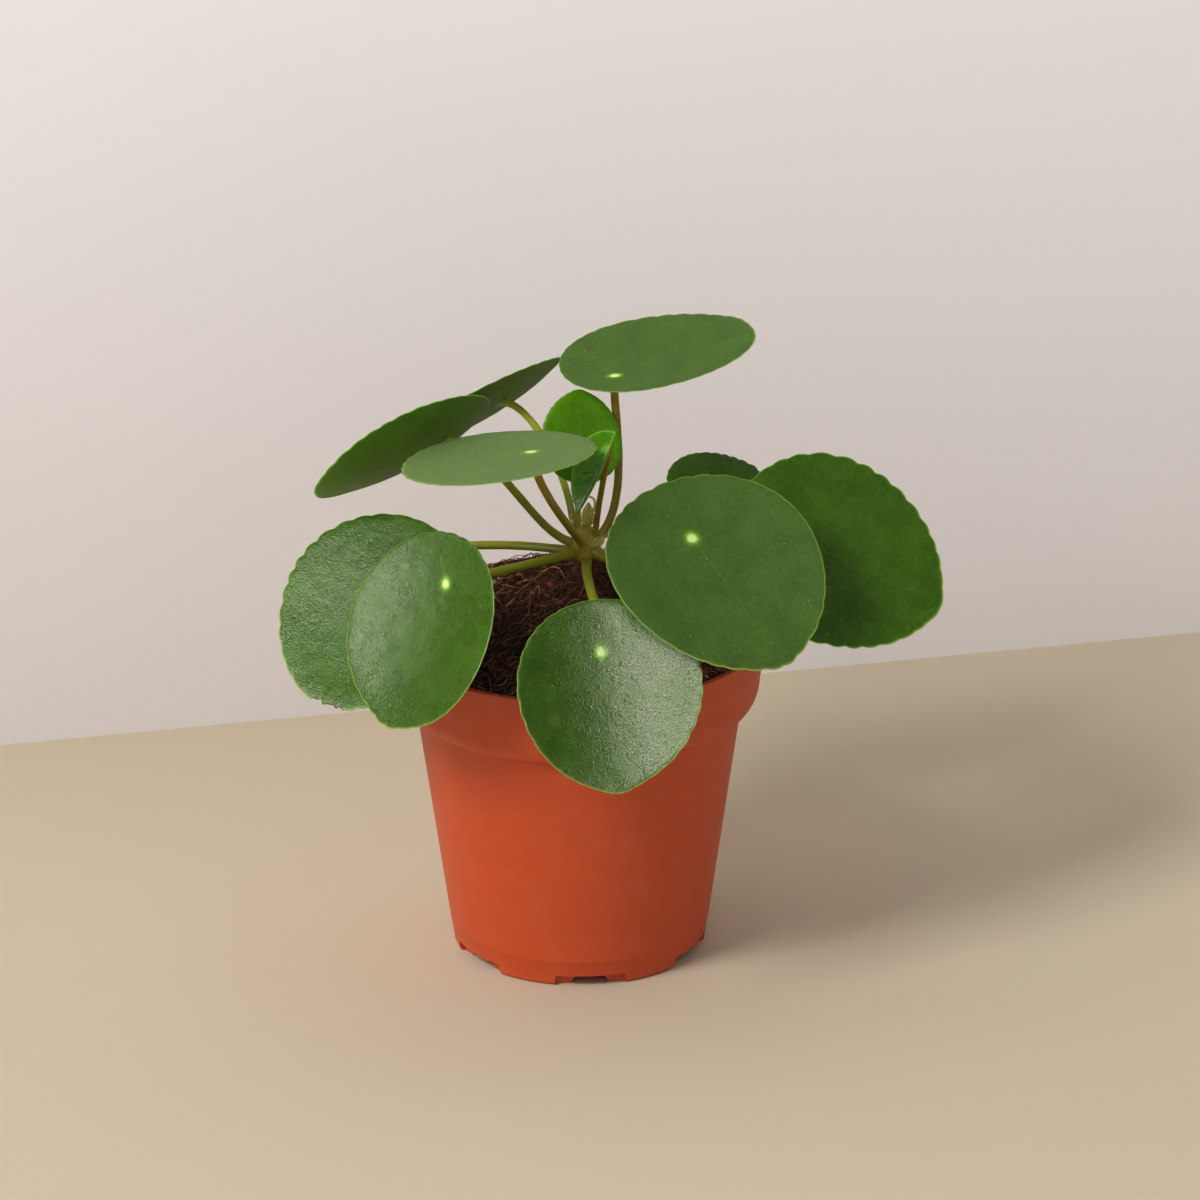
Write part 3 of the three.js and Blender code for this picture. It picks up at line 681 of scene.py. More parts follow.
# %% Coir
def coir_husk():
    finish, add, shader = new_finish("coir_husk_fibre", {"IOR": 1.5, "Specular IOR Level": 0.35,
                                                         "Roughness": 0.7})
    tone = add("Attribute", attribute_name="tone").outputs["Fac"]
    straw = add("MapRange", {0: tone, 1: 0.86, 2: 0.97})
    # Dirt clings to a strand every two millimetres or so.
    dirt = add("TexNoise", {"Vector": in_millimetres(add), "Scale": 0.6, "Detail": 3.0})
    dirty = add("MapRange", {0: dirt, 1: 0.45, 2: 0.65, 3: 0.0, 4: 0.7})
    colour = lay_tints(add, "#2E150A", [(tone, "#C27046"), (straw, "#D0A868"), (dirty, "#23130A")])
    feed(shader, {"Base Color": colour})
    return finish


# %% [markdown]
# A strand of coir is springy. It wanders over the soil, stands up a little in its middle, and is
# turned back where it meets the pot. Most strands are short and fine, and a few are long or thick.

# %% The way of one strand
STRAND_STEPS = 8
TURNED_BACK = 49.3  # how far from the axis a strand may lie
strand_dice = random.Random(5)


def strand_way(place, heading, bend, length, arch_up):
    x, y = place
    path = []
    for step in range(STRAND_STEPS):
        share = step / (STRAND_STEPS - 1)
        lift = arch_up * math.sin(math.pi * share) + 0.1
        path.append((x, y, soil_surface(x, y) + lift))
        heading += bend + strand_dice.gauss(0, 0.16)
        x += length / STRAND_STEPS * math.cos(heading)
        y += length / STRAND_STEPS * math.sin(heading)
        far = math.hypot(x, y) / TURNED_BACK
        if far > 1:
            x, y = x / far, y / far
            heading += 0.9
    return path


# %% Scatter the strands
STRANDS = 2600
STRAND_SIDES = 4
strand_points, strand_faces, strand_tones = [], [], []
for _ in range(STRANDS):
    place = strewn_place(strand_dice, 48)
    heading = 2 * math.pi * strand_dice.random()
    bend = strand_dice.gauss(0, 0.22)
    length = 3 + 13 * strand_dice.random() ** 1.6
    arch_up = strand_dice.random() ** 3 * 2.6
    thick = 0.08 + 0.24 * strand_dice.random() ** 3
    path = strand_way(place, heading, bend, length, arch_up)
    radii = [thick * (1 - 0.6 * abs(2 * step / (STRAND_STEPS - 1) - 1) ** 3)
             for step in range(STRAND_STEPS)]
    strand_faces += ring_faces(STRAND_STEPS, STRAND_SIDES, len(strand_points))
    strand_points += tube_points(path, radii, STRAND_SIDES)
    strand_tones += [strand_dice.random() ** 1.5] * (STRAND_STEPS * STRAND_SIDES)
husk = coir_husk()
strands = make_piece("coir_strands", strand_points, strand_faces, husk)
note_on(strands, "tone", strand_tones)
print("strands:", STRANDS)

# %% Make the crumbs of husk pith
crumbs = make_piece("soil_crumbs", crumb_points, crumb_faces, husk)
note_on(crumbs, "tone", crumb_tones)
print("crumbs:", CRUMBS)

# %% [markdown]
# A few white grains lie on the surface, most of them at the back. They are perlite, a volcanic
# glass that was heated until it popped like corn, so each is chalk-white, light and full of pores.

# %% Popped perlite
def popped_perlite():
    finish, add, shader = new_finish("popped_perlite", {
        "IOR": 1.5, "Roughness": 0.9, "Subsurface Weight": 0.2, "Subsurface Scale": 0.5 * MM})
    # The pores are 0.3 mm apart.
    pores = add("TexVoronoi", {"Vector": in_millimetres(add), "Scale": 3.0})
    bump = add("Bump", {"Height": pores, "Distance": 0.15 * MM})
    chalk = lay_tints(add, "#B9AE9C", [(pores, "#F1EEE6")])
    feed(shader, {"Base Color": chalk, "Normal": bump})
    return finish


# %% Drop the perlite grains
grain_dice = random.Random(8)
grain_spots = [(-25.5, 24.5), (-27, 25.5), (-22.5, 26), (-20.5, 28), (-23.8, 23), (-12, 36), (18, 38),
               (-33, -20), (30, 30), (-36, 8), (25, -36), (-8, 44)]
grain_points, grain_faces = [], []
for x, y in grain_spots:
    size = 0.45 + 0.5 * grain_dice.random()
    grain_faces += ring_faces(5, 8, len(grain_points))
    grain_points += rough_ball((x, y, soil_surface(x, y) + 0.3), size, grain_dice)
make_piece("perlite_grains", grain_points, grain_faces, popped_perlite())
print("perlite grains:", len(grain_spots))

# %% [markdown]
# ## The stem and its crown
#
# The stem is short and woody below, with the ring-shaped scar of an old leaf, and it ends in a
# soft green crown that all the stalks grow from. It is a turned form again, but its points are
# pushed in and out a little, because bark splits and a crown swells at the foot of each stalk.

# %% Sizes of the stem
STEM_FOOT = 78
STEM_RADIUS = 2.8
SCAR = (3.3, 106)  # radius, height
NECK = 108.5
CROWN_MIDDLE = Vector((2, 14, 114))
CROWN_SIZE = Vector((4.2, 4.2, 6.5))


# %% Bark and crown skin
def woody_bark():
    # Bark is matt and cork-like; the crown above it is smooth plant skin with a thin wax.
    finish, add, shader = new_finish("woody_bark_and_crown_skin", {
        "IOR": 1.42, "Specular IOR Level": 0.15, "Subsurface Weight": 0.15,
        "Subsurface Scale": 0.8 * MM, "Subsurface Radius": (0.8, 1.0, 0.3)})
    place = in_millimetres(add)
    # Bark splits lengthwise, so its pattern is drawn out four times along the stem.
    drawn = add("VectorMath", {0: place, 1: (1.0, 1.0, 0.25)}, operation="MULTIPLY")
    splits = add("TexNoise", {"Vector": drawn, "Scale": 1.6, "Detail": 5.0, "Roughness": 0.7})
    mottle = add("TexNoise", {"Vector": place, "Scale": 0.5, "Detail": 4.0})
    height = add("SeparateXYZ", {0: place}).outputs["Z"]
    wobble = add("Math", {0: mottle, 1: 5.0, 2: height}, operation="MULTIPLY_ADD")
    green = add("MapRange", {0: wobble, 1: 112.5, 2: 114.5})
    skin = lay_tints(add, "#C6B83A", [(mottle, "#F2E474")])
    # Brown, papery scars on the crown, 1 to 2 mm across.
    scars = add("TexNoise", {"Vector": place, "Scale": 0.75, "Detail": 2.0})
    scarred = add("MapRange", {0: scars, 1: 0.66, 2: 0.74, 3: 0.0, 4: 0.5})
    colour = lay_tints(add, "#4A1D12", [(splits, "#8E5840"), (green, skin), (scarred, "#70512C")])
    shine = add("MapRange", {0: green, 3: 0.85, 4: 0.45})
    bump = add("Bump", {"Height": splits, "Strength": 0.8, "Distance": 0.3 * MM})
    feed(shader, {"Base Color": colour, "Roughness": shine, "Normal": bump})
    return finish


# %% Make the stem and the crown
STEM_AROUND = 48
stem_outline = [(STEM_RADIUS * 0.7, STEM_FOOT), (STEM_RADIUS, STEM_FOOT + 6)]
stem_outline += [(STEM_RADIUS, z) for z in np.linspace(86, SCAR[1] - 1.2, 26)]
stem_outline += [(STEM_RADIUS + 0.35, SCAR[1] - 0.7), (SCAR[0], SCAR[1] - 0.3),
                 (SCAR[0], SCAR[1] + 0.2), (STEM_RADIUS + 0.2, SCAR[1] + 0.7),
                 (STEM_RADIUS, SCAR[1] + 1.2), (STEM_RADIUS, NECK)]
for lift in np.linspace(-47, 88, 26):
    stem_outline.append((CROWN_SIZE.x * math.cos(math.radians(lift)),
                         CROWN_MIDDLE.z + CROWN_SIZE.z * math.sin(math.radians(lift))))
stem_points, stem_faces = turned(stem_outline, STEM_AROUND)
for point in stem_points:
    away = Vector((point[0], point[1], 0))
    if away.length > 0.3:
        spot = Vector((point[0], point[1], point[2]))
        rough = 0.28 * noise.noise(spot * 0.55) + 0.12 * noise.noise(spot * 1.6)
        point[:2] *= 1 + (rough - 0.04) / away.length * min(1, away.length / 2)
stem_points[:, :2] += STEM_SPOT
make_piece("stem_bark", stem_points, stem_faces, woody_bark(), ["main_stem"])
print("stem points:", len(stem_points))


# %% [markdown]
# ## The bud and its papery scales
#
# On top of the crown the next leaf is still rolled up in a bud, inside a cream-coloured sheath
# that dries to a brown hook. Round it stand stipules, the little scales that once covered older
# buds. They are dead, dry skin: thin as paper, translucent, with torn edges, and browner towards
# the tip.

# %% Papery scale skin
def papery_scale(name, pale, dried):
    finish, add, shader = new_finish(name, {
        "IOR": 1.45, "Specular IOR Level": 0.2, "Roughness": 0.4,
        "Subsurface Weight": 0.8, "Subsurface Scale": 1.5 * MM,
        "Subsurface Radius": (1.0, 0.8, 0.45)})
    along = add("Attribute", attribute_name="along").outputs["Fac"]
    place = in_millimetres(add)
    drawn = add("VectorMath", {0: place, 1: (1.0, 1.0, 0.3)}, operation="MULTIPLY")
    # Fibres 0.3 mm apart run from the foot to the tip.
    fibres = add("TexNoise", {"Vector": drawn, "Scale": 3.2, "Detail": 3.0})
    cloud = add("TexNoise", {"Vector": place, "Scale": 0.9, "Detail": 3.0})
    uneven = add("Math", {0: cloud, 1: 0.7, 2: along}, operation="MULTIPLY_ADD")
    brown = add("MapRange", {0: uneven, 1: 1.15, 2: 1.4}, interpolation_type="SMOOTHSTEP")
    lined = add("MapRange", {0: fibres, 1: 0.35, 2: 0.65, 3: 0.72, 4: 1.08})
    colour = lay_tints(add, pale, [(brown, dried)])
    shaded = add("VectorMath", {0: colour, 3: lined}, operation="SCALE")
    bump = add("Bump", {"Height": fibres, "Strength": 0.8, "Distance": 0.12 * MM})
    feed(shader, {"Base Color": shaded, "Normal": bump})
    return finish


scale_skin = papery_scale("dry_stipule_skin", "#F0E59C", "#B07C46")
sheath_skin = papery_scale("bud_sheath_skin", "#FAEE8C", "#7A2A1A")
print("finishes:", scale_skin.name, sheath_skin.name)

# %% Make the bud with its hook
BUD_PLACE = np.array([2.7, 13, 120.8])
BUD_RADIUS = 1.8
BUD_HEIGHT = 6.8
BUD_LEAN = np.array([0.3, -0.4, 0])
BUD_WIDTHS = [(0, 0.7), (0.05, 0.86), (0.15, 1), (0.3, 1.02), (0.45, 1), (0.58, 0.9), (0.7, 0.75),
              (0.8, 0.57), (0.9, 0.35), (0.96, 0.2), (1.0, 0.06)]
HOOK_PATH = np.array([[0.9, 0, 3.5], [1.6, 0, 4.3], [2.1, 0, 5.2], [2.15, 0.05, 6.3],
                      [1.9, 0.1, 7.4], [1.3, 0.1, 8.05], [0.5, 0.1, 8.4]])
BUD_AROUND = 32

bud_points, bud_along = [], []
for share, width in BUD_WIDTHS:
    for i in range(BUD_AROUND):
        turn = 2 * math.pi * i / BUD_AROUND
        # The rolled leaf shows as a shallow spiral fold in the sheath.
        fold = 1 - 0.1 * max(0, math.cos(turn - 1.2 * share - 4.2)) ** 12
        flat = np.array([math.cos(turn), math.sin(turn), 0]) * BUD_RADIUS * width * fold
        bud_points.append(BUD_PLACE + flat + BUD_LEAN * share ** 2 + (0, 0, BUD_HEIGHT * share))
        bud_along.append(share)
bud_faces = ring_faces(len(BUD_WIDTHS), BUD_AROUND)
hook_radii = np.linspace(0.5, 0.28, len(HOOK_PATH))
bud_faces += ring_faces(len(HOOK_PATH), 12, len(bud_points))
bud_points += tube_points(BUD_PLACE + HOOK_PATH, hook_radii, 12)
bud_along += [0.45 + 0.5 * (i // 12) / len(HOOK_PATH) for i in range(12 * len(HOOK_PATH))]
bud = make_piece("bud_sheath", bud_points, bud_faces, sheath_skin, ["bud"])
note_on(bud, "along", bud_along)
print("bud points:", len(bud_points))


# %% [markdown]
# The crown is an egg with its long axis upright. Scales and stalks stand on its skin, so each is
# placed by two angles, round the crown and up from its middle. A scale is a thin, bent sheet: it
# narrows towards its tip, hugs the crown with its foot, and curls and frays above.

# %% Where things stand on the crown
def on_crown(azimuth, lift):
    """The point of the crown in this direction, and the way its skin faces there."""
    level = math.cos(math.radians(lift))
    way = Vector((level * math.cos(math.radians(azimuth)), level * math.sin(math.radians(azimuth)),
                  math.sin(math.radians(lift))))
    reach = 1 / Vector([w / s for w, s in zip(way, CROWN_SIZE)]).length
    point = way * reach
    normal = Vector([p / s / s for p, s in zip(point, CROWN_SIZE)]).normalized()
    return CROWN_MIDDLE + point, normal


# %% Points and faces of a scale
ROWS, COLUMNS = 16, 18
STIPULE_THICK = 0.22
STANDS_OFF = 0.18  # the gap under a scale
stipule_dice = random.Random(3)


def scale_points(azimuth, lift, width, length, lean):
    point, normal = on_crown(azimuth, lift)
    level = Vector((0, 0, 1)) - normal * normal.z
    level.normalize()
    side = level.cross(normal)
    turn = Matrix.Rotation(math.radians(lean), 3, side)
    up_way, out_way = turn @ level, turn @ normal
    foot = point + normal * 0.6
    torn = [0.86 + 0.16 * stipule_dice.random() for _ in range(COLUMNS)]
    points = []
    for depth in (STIPULE_THICK, 0):
        for row in range(ROWS):
            share = row / (ROWS - 1)
            for column in range(COLUMNS):
                across = 2 * column / (COLUMNS - 1) - 1
                x = width / 2 * math.sqrt(1 - 0.85 * share ** 2) * across
                crown_curve = (1 - (2 * x / width) ** 2) * 0.6
                curl = 0.25 * share ** 2 * math.sin(5 * across + length)
                tall = length * 0.97 * share * (torn[column] if share > 0.5 else 1)
                stand = depth + STANDS_OFF + crown_curve + curl
                points.append(foot + side * x + up_way * tall + out_way * stand)
    return points


def scale_faces():
    """The outer and the inner side of the sheet, and the strip round its border."""
    faces, back = [], ROWS * COLUMNS
    for row in range(ROWS - 1):
        for column in range(COLUMNS - 1):
            a = row * COLUMNS + column
            b, c, d = a + 1, a + COLUMNS + 1, a + COLUMNS
            faces += [(a, b, c, d), (a + back, d + back, c + back, b + back)]
    border = (list(range(COLUMNS)) + [r * COLUMNS + COLUMNS - 1 for r in range(1, ROWS)]
              + [(ROWS - 1) * COLUMNS + c for c in range(COLUMNS - 2, -1, -1)]
              + [r * COLUMNS for r in range(ROWS - 2, 0, -1)])
    for a, b in zip(border, border[1:] + border[:1]):
        faces.append((a, a + back, b + back, b))
    return faces


# %% Make the stipules
# Degrees round and up the crown, width and length in millimetres, degrees of lean.
STIPULES = {"right": (-46, 20, 5, 4, 24), "left": (-164, 52, 3, 5.4, 24),
            "collar": (-98, 0, 3.4, 3, 64)}
for label, sizes in STIPULES.items():
    stipule = make_piece(f"stipule_{label}_skin", scale_points(*sizes), scale_faces(),
                         scale_skin, [f"stipule_{label}"])
    note_on(stipule, "along", np.tile(np.repeat(np.arange(ROWS) / (ROWS - 1), COLUMNS), 2))
print("stipules:", len(STIPULES))

# %% [markdown]
# ## The leaves
#
# Every leaf is described by the same few facts. Its spot is where the stalk meets the blade, and
# two directions say how the blade faces and where its tip points. Then come its size, how far the
# spot lies from the blade's middle, how much its sides and tip are cupped, how much it tapers, how
# far its point sticks out, and the stalk's way from the crown and thickness. The table gives them
# leaf by leaf, roughly from the top of the plant down.

# %% The twelve leaves
LEAVES = {
    "top": dict(spot=(10.5, 20, 163), faces=(-0.11, 0.03, 0.99), tip=(0.78, 0.62, 0.07),
                radius=28, inset=16.5, cup=(3, 1.5), taper=0.08, apex=0.025,
                crown=(24, 24), via=((16, 19, 126), (9, 25, 154)), stalk=2.3),
    "upper_front": dict(spot=(-13, -18, 155), faces=(-0.11, 0.11, 0.99), tip=(-0.96, -0.28, -0.08),
                        radius=27, inset=9, cup=(0.7, 0), taper=-0.05, apex=0.01,
                        crown=(-108, 28), via=((1, -1, 122), (-10, -20, 141)), stalk=2.3),
    "upper_left": dict(spot=(-37, 16, 146), faces=(-0.58, 0.47, 0.67), tip=(-0.8, -0.46, -0.38),
                       radius=27.5, inset=12, cup=(5.5, 4), taper=-0.05, apex=0.01,
                       crown=(-172, 18), via=((-13, 13, 119), (-22, 11, 144)), stalk=2.3),
    "back": dict(spot=(-21.5, 39, 148.5), faces=(-0.53, 0.46, 0.71), tip=(-0.59, 0.4, -0.7),
                 radius=27, inset=9, cup=(4, 3.5), taper=0.05, apex=0.03,
                 crown=(142, 35), via=((-2, 24, 131), (-13, 32, 150)), stalk=2),
    "young": dict(spot=(1.5, 8, 141), faces=(0.5, -0.74, 0.46), tip=(-0.09, 0.48, 0.87),
                  radius=13, inset=7.5, cup=(0.5, 0.7), taper=0.12, apex=0.04,
                  crown=(130, 62), via=((0, 20, 126), (-2, 15, 138)), stalk=1.4),
    "folded": dict(spot=(8.5, 0, 148.5), faces=(-0.6, -0.7, 0.4), tip=(-0.45, -0.3, -0.85),
                   radius=4.8, length=12, inset=6.5, cup=(6.5, 1), fold=1.2, taper=0.25, apex=0.08,
                   crown=(-28, 52), via=((5, 9, 125), (8, 7, 142)), stalk=1.7),
    "far_left": dict(spot=(-53.1, -9, 116.7), faces=(-0.48, -0.62, 0.61), tip=(-0.37, -0.49, -0.79),
                     radius=29.4, inset=13.5, cup=(2, 0), taper=0.083, apex=0.01,
                     crown=(170, -25), via=((-20, 20, 113), (-48, 5, 119)), stalk=2.4),
    "near_left": dict(spot=(-36.4, -37, 123.6), faces=(-0.67, -0.58, 0.46), tip=(-0.37, -0.27, -0.89),
                      radius=27.7, inset=14.1, cup=(3.8, 0.3), taper=-0.017, apex=0.045,
                      crown=(-135, -14), via=((-15, 1, 113), (-31, -24, 120)), stalk=2.5),
    "front": dict(spot=(6.3, -52, 109.2), faces=(0.26, -0.87, 0.43), tip=(0.12, -0.41, -0.9),
                  radius=26.3, inset=11.8, cup=(5.6, 0.5), taper=0.075, apex=0.05,
                  crown=(-84, -45), via=((1, -3, 109), (13, -38, 98)), stalk=2.6),
    "right": dict(spot=(31.6, -26, 132.3), faces=(0.26, -0.55, 0.79), tip=(0.56, -0.58, -0.59),
                  radius=31.6, inset=13, cup=(2.9, 0.1), taper=0.1, apex=0.04,
                  crown=(-42, -12), via=((14, 2, 111), (31, -21, 118)), stalk=2.7, base=0.45),
    "far_right": dict(spot=(59.8, 2, 121.8), faces=(0.28, -0.55, 0.79), tip=(0.9, -0.14, -0.42),
                      radius=31.9, inset=13.6, cup=(2.3, 0.1), taper=0.106, apex=0.038,
                      crown=(15, -34), via=((20, 19, 106), (62, 10, 107)), stalk=2.4),
    "back_right": dict(spot=(39, 40, 119.5), faces=(0.21, -0.35, 0.91), tip=(0.53, 0.82, 0.2),
                       radius=16, inset=4.5, cup=(-1, -1.5), taper=0.04, apex=0.03,
                       crown=(58, 0), via=((11, 28, 115), (39, 48, 109)), stalk=1.9),
}
for name, leaf in LEAVES.items():
    leaf["name"] = name
YOUNG = ("young", "folded")
BROWN_STALKS = ("top", "upper_front", "folded")
BLADE_THICK = 0.8
GAP = 0.3


def leaf_frame(leaf):
    """The leaf's own directions: across the blade, ahead to its tip, and out of its upper face."""
    out = np.array(Vector(leaf["faces"]).normalized())
    ahead = np.array(leaf["tip"]) - out * np.dot(leaf["tip"], out)
    ahead /= np.linalg.norm(ahead)
    return np.cross(ahead, out), ahead, out


print("widest blade:", 2 * max(leaf["radius"] for leaf in LEAVES.values()), "mm")

# %% [markdown]
# ### Stalks
#
# A leaf stalk is a juicy rod, a little over two millimetres thick. It leaves the crown with a
# swollen foot, bends towards the light, and swells again where it meets the blade. Its skin is
# smooth and waxy, so a long, thin highlight runs down it. Young and sunlit stalks are yellow-green,
# older ones turn olive-brown, and all are paler just under the blade.

# %% Waxy stalk skin
def waxy_stalk(name, pale, deep, foot_tint):
    # Plant skin has an IOR near 1.42, and its wax gives a roughness near 0.35.
    finish, add, shader = new_finish(name, {
        "IOR": 1.42, "Roughness": 0.36, "Specular IOR Level": 0.22, "Subsurface Weight": 0.25,
        "Subsurface Scale": 1.2 * MM, "Subsurface Radius": (0.7, 1.0, 0.25)})
    along = add("Attribute", attribute_name="along").outputs["Fac"]
    place = in_millimetres(add)
    streaks = add("TexNoise", {"Vector": place, "Scale": 0.45, "Detail": 5.0, "Roughness": 0.65})
    foot = add("MapRange", {0: along, 1: 0.14, 2: 0.0})
    head = add("MapRange", {0: along, 1: 0.9, 2: 1.0, 4: 0.8})
    # Tiny pale pores, 0.2 mm across and about 1 mm apart.
    cells = add("TexVoronoi", {"Vector": place, "Scale": 1.1})
    pores = add("MapRange", {0: cells, 1: 0.16, 2: 0.08, 4: 0.35})
    colour = lay_tints(add, pale, [(streaks, deep), (foot, foot_tint), (head, "#A9B44C"),
                                   (pores, "#C9C98C")])
    bump = add("Bump", {"Height": streaks, "Strength": 0.6, "Distance": 0.1 * MM})
    feed(shader, {"Base Color": colour, "Normal": bump})
    return finish


green_stalk = waxy_stalk("waxy_stalk_skin_green", "#BFC53A", "#98A128", "#C0B848")
brown_stalk = waxy_stalk("waxy_stalk_skin_brown", "#AE9F34", "#8C7220", "#C2B440")
print("finishes:", green_stalk.name, brown_stalk.name)

# %% [markdown]
# A stalk follows a cubic curve. It starts square to the crown's skin and ends square to the blade,
# so the last millimetres of the tube are turned that way, and both of its ends flare.

# %% Shape of a stalk
STALK_STEPS = 56
STALK_AROUND = 20
FOOT_FLARE, FOOT_REACH = 0.2, 4
HEAD_FLARE, HEAD_REACH = 0.5, 1.8
SETTLE = 2.5  # over this length the tube turns to lie flat on what it meets


def bent_stalk(leaf):
    """A cubic curve from the crown, past two points, to the underside of the blade."""
    start, normal = on_crown(*leaf["crown"])
    out = leaf_frame(leaf)[2]
    normal = np.array(normal)
    first = np.array(start) + normal * GAP * 0.3
    last = np.array(leaf["spot"]) - out * (BLADE_THICK + GAP * 0.4)
    second, third = (np.array(v, float) for v in leaf["via"])
    t = np.linspace(0, 1, 400)[:, None]
    curve = ((1 - t) ** 3 * first + 3 * (1 - t) ** 2 * t * second
             + 3 * (1 - t) * t ** 2 * third + t ** 3 * last)
    run = np.concatenate([[0], np.cumsum(np.linalg.norm(np.diff(curve, axis=0), axis=1))])
    share = 0.5 - 0.5 * np.cos(np.linspace(0, math.pi, STALK_STEPS))
    path = np.stack([np.interp(share * run[-1], run, curve[:, k]) for k in range(3)], axis=1)
    ways = np.gradient(path, axis=0)
    ways /= np.linalg.norm(ways, axis=1)[:, None]
    length = run[-1]
    near_foot = np.exp(-share * length / SETTLE)[:, None]
    near_head = np.exp((share - 1) * length / SETTLE)[:, None]
    ways = ways * (1 - near_foot) + normal * near_foot
    ways = ways * (1 - near_head) + out * near_head
    flare = (leaf.get("base", FOOT_FLARE) * np.exp(-share * length / FOOT_REACH)
             + HEAD_FLARE * np.exp((share - 1) * length / HEAD_REACH))
    return path, leaf["stalk"] / 2 * (1 + flare), ways, share, length


# %% Make the stalks
for name, leaf in LEAVES.items():
    path, radii, ways, share, length = bent_stalk(leaf)
    points = np.array(tube_points(path, radii, STALK_AROUND, ways))
    # Slow swellings and small bumps keep the rod from looking machined.
    middle = np.repeat(path, STALK_AROUND, axis=0)
    swell = [0.05 * noise.noise(Vector(p) * 0.3) + 0.02 * noise.noise(Vector(p) * 1.4)
             for p in points]
    points = middle + (points - middle) * (1 + np.array(swell))[:, None]
    brown = name in BROWN_STALKS
    skin, slot = (brown_stalk, "stalk_brown") if brown else (green_stalk, "stalk_green")
    stalk = make_piece(f"stalk_{name}_skin", points, ring_faces(STALK_STEPS, STALK_AROUND),
                       skin, [f"stalk_{name}"])
    note_on(stalk, "along", np.repeat(share, STALK_AROUND))
    print(f"stalk {name}: {length:.0f} mm")

# %% [markdown]
# ### Blades
#
# A blade is a thin, waxy shield. Its edge has about thirty shallow scallops and a blunt point at
# the tip, and its surface is slightly quilted, like hammered leather, because the skin between the
# veins bulges. Seen from above it is deep green with a lime-white star where the stalk's vessels
# spread out. Its underside is paler and more matt.
#
# The blade is a grid in polar form: spokes from the spot to the edge, and rings between. The rings
# crowd towards the edge, where the blade thins and rolls over. A strip joins both faces there, so
# the blade is a closed body. Each point also keeps its place on the blade in millimetres, which
# lets one finish draw veins and specks on every leaf in the right size.

# %% Shape of a blade
SCALLOPS = 32
SCALLOP_HIGH = 0.2
# Leaves whose scallops are higher or lower than that.
SCALLOPED = {"far_left": 0.34, "far_right": 0.34, "back_right": 0.3, "near_left": 0.14,
             "front": 0.15, "young": 0.1, "folded": 0.03}
APEX_WIDTH = 13  # degrees
SPOKES = 320
SHARES = np.concatenate([np.linspace(0.02, 0.8, 36), np.linspace(0.82, 0.97, 10),
                         [0.985, 0.994, 1.0]])
TIP_RAISED = {"far_left": 1.7, "near_left": 0.9}  # how far the tip's end of a blade is bent up
# How far the end behind the spot is bent down. A negative one is bent up.
BACK_ROLLED = {"far_left": 0.8, "near_left": -1.6, "front": 0.2}
# One leaf lost a piece of its edge, which dried brown: where, half how wide, and how deep.
TORN_EDGE = {"far_left": (math.radians(87), math.radians(13), 1.1)}


def blade_height(leaf, x, y):
    length = leaf.get("length", leaf["radius"])
    sides = leaf["cup"][0] * np.abs(x / leaf["radius"]) ** leaf.get("fold", 2)
    tip_end = TIP_RAISED.get(leaf["name"], 0) * np.clip((y - leaf["inset"]) / length, 0, 1) ** 2
    back_end = BACK_ROLLED.get(leaf["name"], 0) * np.clip((5 - y) / 19, 0, 1) ** 2
    return sides + leaf["cup"][1] * (y / length) ** 2 + tip_end - back_end


def torn_depth(leaf, turn):
    where, half_wide, deep = TORN_EDGE.get(leaf["name"], (0, 1, 0))
    ragged = 1 + 0.25 * np.sin(41 * turn) + 0.2 * np.sin(67 * turn)
    return deep * ragged * np.clip(4 - 4 * np.abs(turn - where) / half_wide, 0, 1)


def browned_edge(leaf, turn, share):
    """How brown each point is: a thin, uneven line of dead tissue along the torn edge."""
    return np.clip(2 * torn_depth(leaf, turn), 0, 1) * np.clip((share - 0.985) / 0.01, 0, 1)


def blade_place(leaf, turn, share, seed):
    """Across, ahead and out, in millimetres from the spot, of points at these turns and shares."""
    length = leaf.get("length", leaf["radius"])
    from_tip = np.abs(np.arctan2(np.sin(turn - math.pi / 2), np.cos(turn - math.pi / 2)))
    apex = leaf["apex"] * np.exp(-(from_tip / math.radians(APEX_WIDTH)) ** 2)
    uneven = turn + 0.035 * np.sin(3 * turn + seed) + 0.02 * np.sin(7 * turn + 2 * seed)
    high = SCALLOPED.get(leaf["name"], SCALLOP_HIGH) * (0.75 + 0.5 * np.sin(2 * turn + 3 * seed))
    scallop = high * (2 * np.abs(np.sin(SCALLOPS / 2 * uneven)) - 1)
    reach = 1 + apex + (scallop - torn_depth(leaf, turn)) * share ** 6 / leaf["radius"]
    x = leaf["radius"] * np.cos(turn) * (1 - leaf["taper"] * np.sin(turn)) * reach * share
    y = (leaf["inset"] + length * np.sin(turn) * reach) * share
    return x, y, blade_height(leaf, x, y)


def quilting(x, y, seed, size):
    """Slow waves of the skin, a few millimetres across."""
    place = Vector((x / size, y / size, seed * 3.7))
    return noise.noise(place) + 0.4 * noise.noise(place * 2.3)
